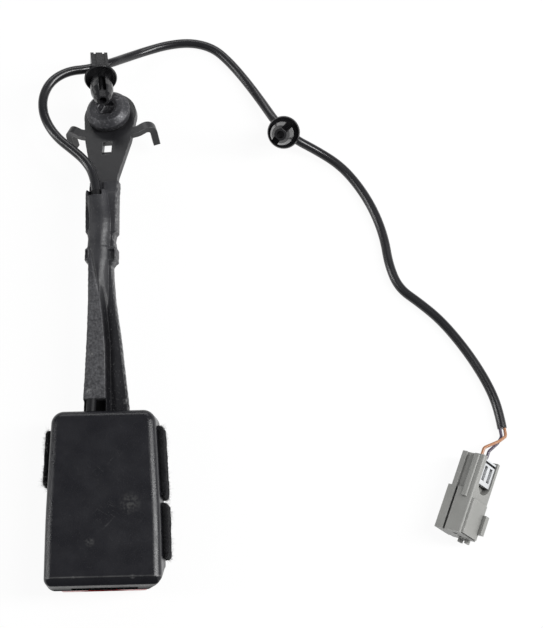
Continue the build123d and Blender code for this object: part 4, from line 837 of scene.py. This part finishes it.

# painted shade: the tunnel's open end beside the housing is painted black inside, and less glossy
hole_painted_shade = both(tree, spread(tree, along["Y"], 1, 0, -0.0304, -0.0300),
            spread(tree, along["X"], 1, 0, 0.0002, 0.0008))
hole_painted_shade = both(tree, hole_painted_shade, spread(tree, along["Z"], 1, 0, 0.0205, 0.0220))
tint(tree, shader, hole_painted_shade, base, (0.004, 0.004, 0.004))
gloss = both(tree, spread(tree, hole_painted_shade, 0.42, 0.04), spread(tree, wear_and_painted_light["Z"], 1, 0.15))
tree.links.new(gloss, shader.inputs["Specular IOR Level"])
points, faces, wear_and_painted_light = sleeve_mesh()
boot = new_piece("stalk_sleeve_moulded", points, faces, moulded)
drawn = boot.data.attributes.new("wear_and_painted_light", "FLOAT_VECTOR", "POINT")
drawn.data.foreach_set("vector", wear_and_painted_light.ravel().astype(np.float32))
weld(boot)
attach(boot, "buckle")
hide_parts("stalk_sleeve")

# painted shade: the lead inside the sleeve is painted darker and duller than the cable's jacket
lead_painted_shade, tree, shader, place = new_material("lead in the tunnel painted shade", (0.006, 0.006, 0.007), 0.5)
shade = add_grain(tree, shader, place, 900, 0.10, 0.45, 0.60)
tint(tree, shader, shade, (0.005, 0.005, 0.006), (0.010, 0.010, 0.011))
shader.inputs["Specular IOR Level"].default_value = 0.15
paint("sleeve_lead", lead_painted_shade)

# ---------------------------------------------------------------- cable clips
# Push-in clips of black nylon, each moulded in one: a block round the cable, an umbrella disc that
# seals on the panel, and a barbed arrow that snaps into its hole.
nylon, tree, shader, place = new_material("clip nylon", (0.008, 0.008, 0.009), 0.22)
shade = add_grain(tree, shader, place, 1300, 0.25, 0.14, 0.32)
tint(tree, shader, shade, (0.005, 0.005, 0.006), (0.014, 0.014, 0.015))
for node in ("first_clip", "second_clip"):
    paint(node, nylon)

# ---------------------------------------------------------------- plug and its wires
# Two-way plug moulded in warm grey, with a pale comb in its side that locks its brass terminals.
# Painted shade, from ambient occlusion, darkens the slots of plug and comb. Two thin wires run into
# it from the cable's jacket.
plug_grey, tree, shader, place = new_material("plug grey", (0.25, 0.25, 0.235), 0.42)
shade = add_grain(tree, shader, place, 1500, 0.12, 0.36, 0.52)
base = mix(tree, shade, (0.20, 0.20, 0.19), (0.27, 0.27, 0.255))
rubs = use(tree, rub_group, {"Place": place, "Radius": 0.0005, "Amount": 0.5})["Mask"]
base = mix(tree, rubs, base, (0.50, 0.50, 0.49))
# painted shade in the plug's slots and grooves, from ambient occlusion
open_air = put(tree, "AmbientOcclusion", {"Distance": 0.0018}, samples=8).outputs["AO"]
slot_painted_shade = spread(tree, open_air, 0.8, 0, 0.35, 0.80)
tint(tree, shader, slot_painted_shade, base, (0.05, 0.05, 0.05))
paint("plug_housing", plug_grey)

comb_white, tree, shader, place = new_material("comb white", (0.55, 0.56, 0.56), 0.35)
shade = add_grain(tree, shader, place, 1500, 0.08, 0.30, 0.45)
base = mix(tree, shade, (0.42, 0.43, 0.44), (0.56, 0.57, 0.58))
# painted shade in the comb's slots, from ambient occlusion
open_air = put(tree, "AmbientOcclusion", {"Distance": 0.0016}, samples=8).outputs["AO"]
slot_painted_shade = spread(tree, open_air, 0.9, 0, 0.40, 0.85)
tint(tree, shader, slot_painted_shade, base, (0.04, 0.04, 0.04))
paint("plug_retainer", comb_white)

brass = metal_material("terminal brass", (0.56, 0.42, 0.20), (0.72, 0.58, 0.32), 0.22, 0.36,
                       every_way)
paint("plug_terminals", brass)


def wire_material(name, dark, light):
    """Thin PVC insulation, glossy, a little uneven in colour."""
    material, tree, shader, place = new_material(name, dark, 0.3)
    shade = add_grain(tree, shader, place, 900, 0.06, 0.24, 0.38)
    tint(tree, shader, shade, dark, light)
    return material


paint("plug_wire_dark", wire_material("wire violet", (0.035, 0.025, 0.045), (0.075, 0.055, 0.09)))
paint("plug_wire_orange", wire_material("wire orange", (0.26, 0.11, 0.05), (0.38, 0.18, 0.09)))

# ---------------------------------------------------------------- table and light
# A pale seamless paper table under large soft lamps, as in a small parts studio. The paper shows
# near white to the camera and in reflections, and still takes the part's shadow.
table_half, table_under, paper_glow = 8.0, 0.1 * mm, 0.93
table = bpy.data.meshes.new("table")
corners = [(-1, -1), (1, -1), (1, 1), (-1, 1)]
table.from_pydata([(x * table_half, y * table_half, 0) for x, y in corners], [], [(0, 1, 2, 3)])
table_top = bpy.data.objects.new("table", table)
bpy.context.scene.collection.objects.link(table_top)
table_top.location.z = -table_under
paper, tree, shader, place = new_material("table paper", (0.86, 0.86, 0.86), 0.9)
shade = put(tree, "TexNoise", {"Vector": place, "Scale": 6.0, "Detail": 2.0}).outputs["Fac"]
tint(tree, shader, shade, (0.84, 0.84, 0.84), (0.88, 0.88, 0.88))
glow = put(tree, "Emission", {"Color": (1, 1, 1, 1), "Strength": 1.0})
seen = put(tree, "LightPath")
straight = put(tree, "Math", {0: seen.outputs["Is Camera Ray"], 1: seen.outputs["Is Glossy Ray"]},
               operation="ADD")
through = put(tree, "Math", {0: straight.outputs[0], 1: seen.outputs["Is Transmission Ray"]},
              operation="ADD")
share = put(tree, "Math", {0: through.outputs[0], 1: paper_glow}, operation="MULTIPLY").outputs[0]
blend = put(tree, "MixShader", {0: share, 1: shader.outputs["BSDF"], 2: glow.outputs["Emission"]})
tree.links.new(blend.outputs["Shader"], tree.nodes["Material Output"].inputs["Surface"])
table.materials.append(paper)


def lamp(name, place, size, power):
    """A soft rectangular lamp at a place, aimed at the part."""
    light = bpy.data.lights.new(name, "AREA")
    light.shape = "RECTANGLE"
    light.size, light.size_y = size
    light.energy = power
    holder = bpy.data.objects.new(name, light)
    holder.location = place
    holder.rotation_euler = (lamp_aim - Vector(place)).to_track_quat("-Z", "Y").to_euler()
    bpy.context.scene.collection.objects.link(holder)


lamp_aim = Vector((0.05, 0.0, 0.0))
lamp("window", (0.78, 0.0, 0.72), (0.22, 1.0), 14.0)
lamp("far", (0.05, 0.95, 0.55), (1.1, 0.25), 3.5)
lamp("side", (-0.85, -0.05, 0.50), (0.14, 1.0), 4.5)
world = bpy.data.worlds.new("studio")
bpy.context.scene.world = world
world.use_nodes = True
sky = world.node_tree.nodes["Background"]
sky.inputs["Color"].default_value = (0.95, 0.97, 1.0, 1)
seen = put(world.node_tree, "LightPath").outputs["Is Camera Ray"]
sky_light, sky_seen = 0.20, 1.0
world.node_tree.links.new(spread(world.node_tree, seen, sky_light, sky_seen), sky.inputs["Strength"])
bpy.context.scene.view_settings.view_transform = "Standard"
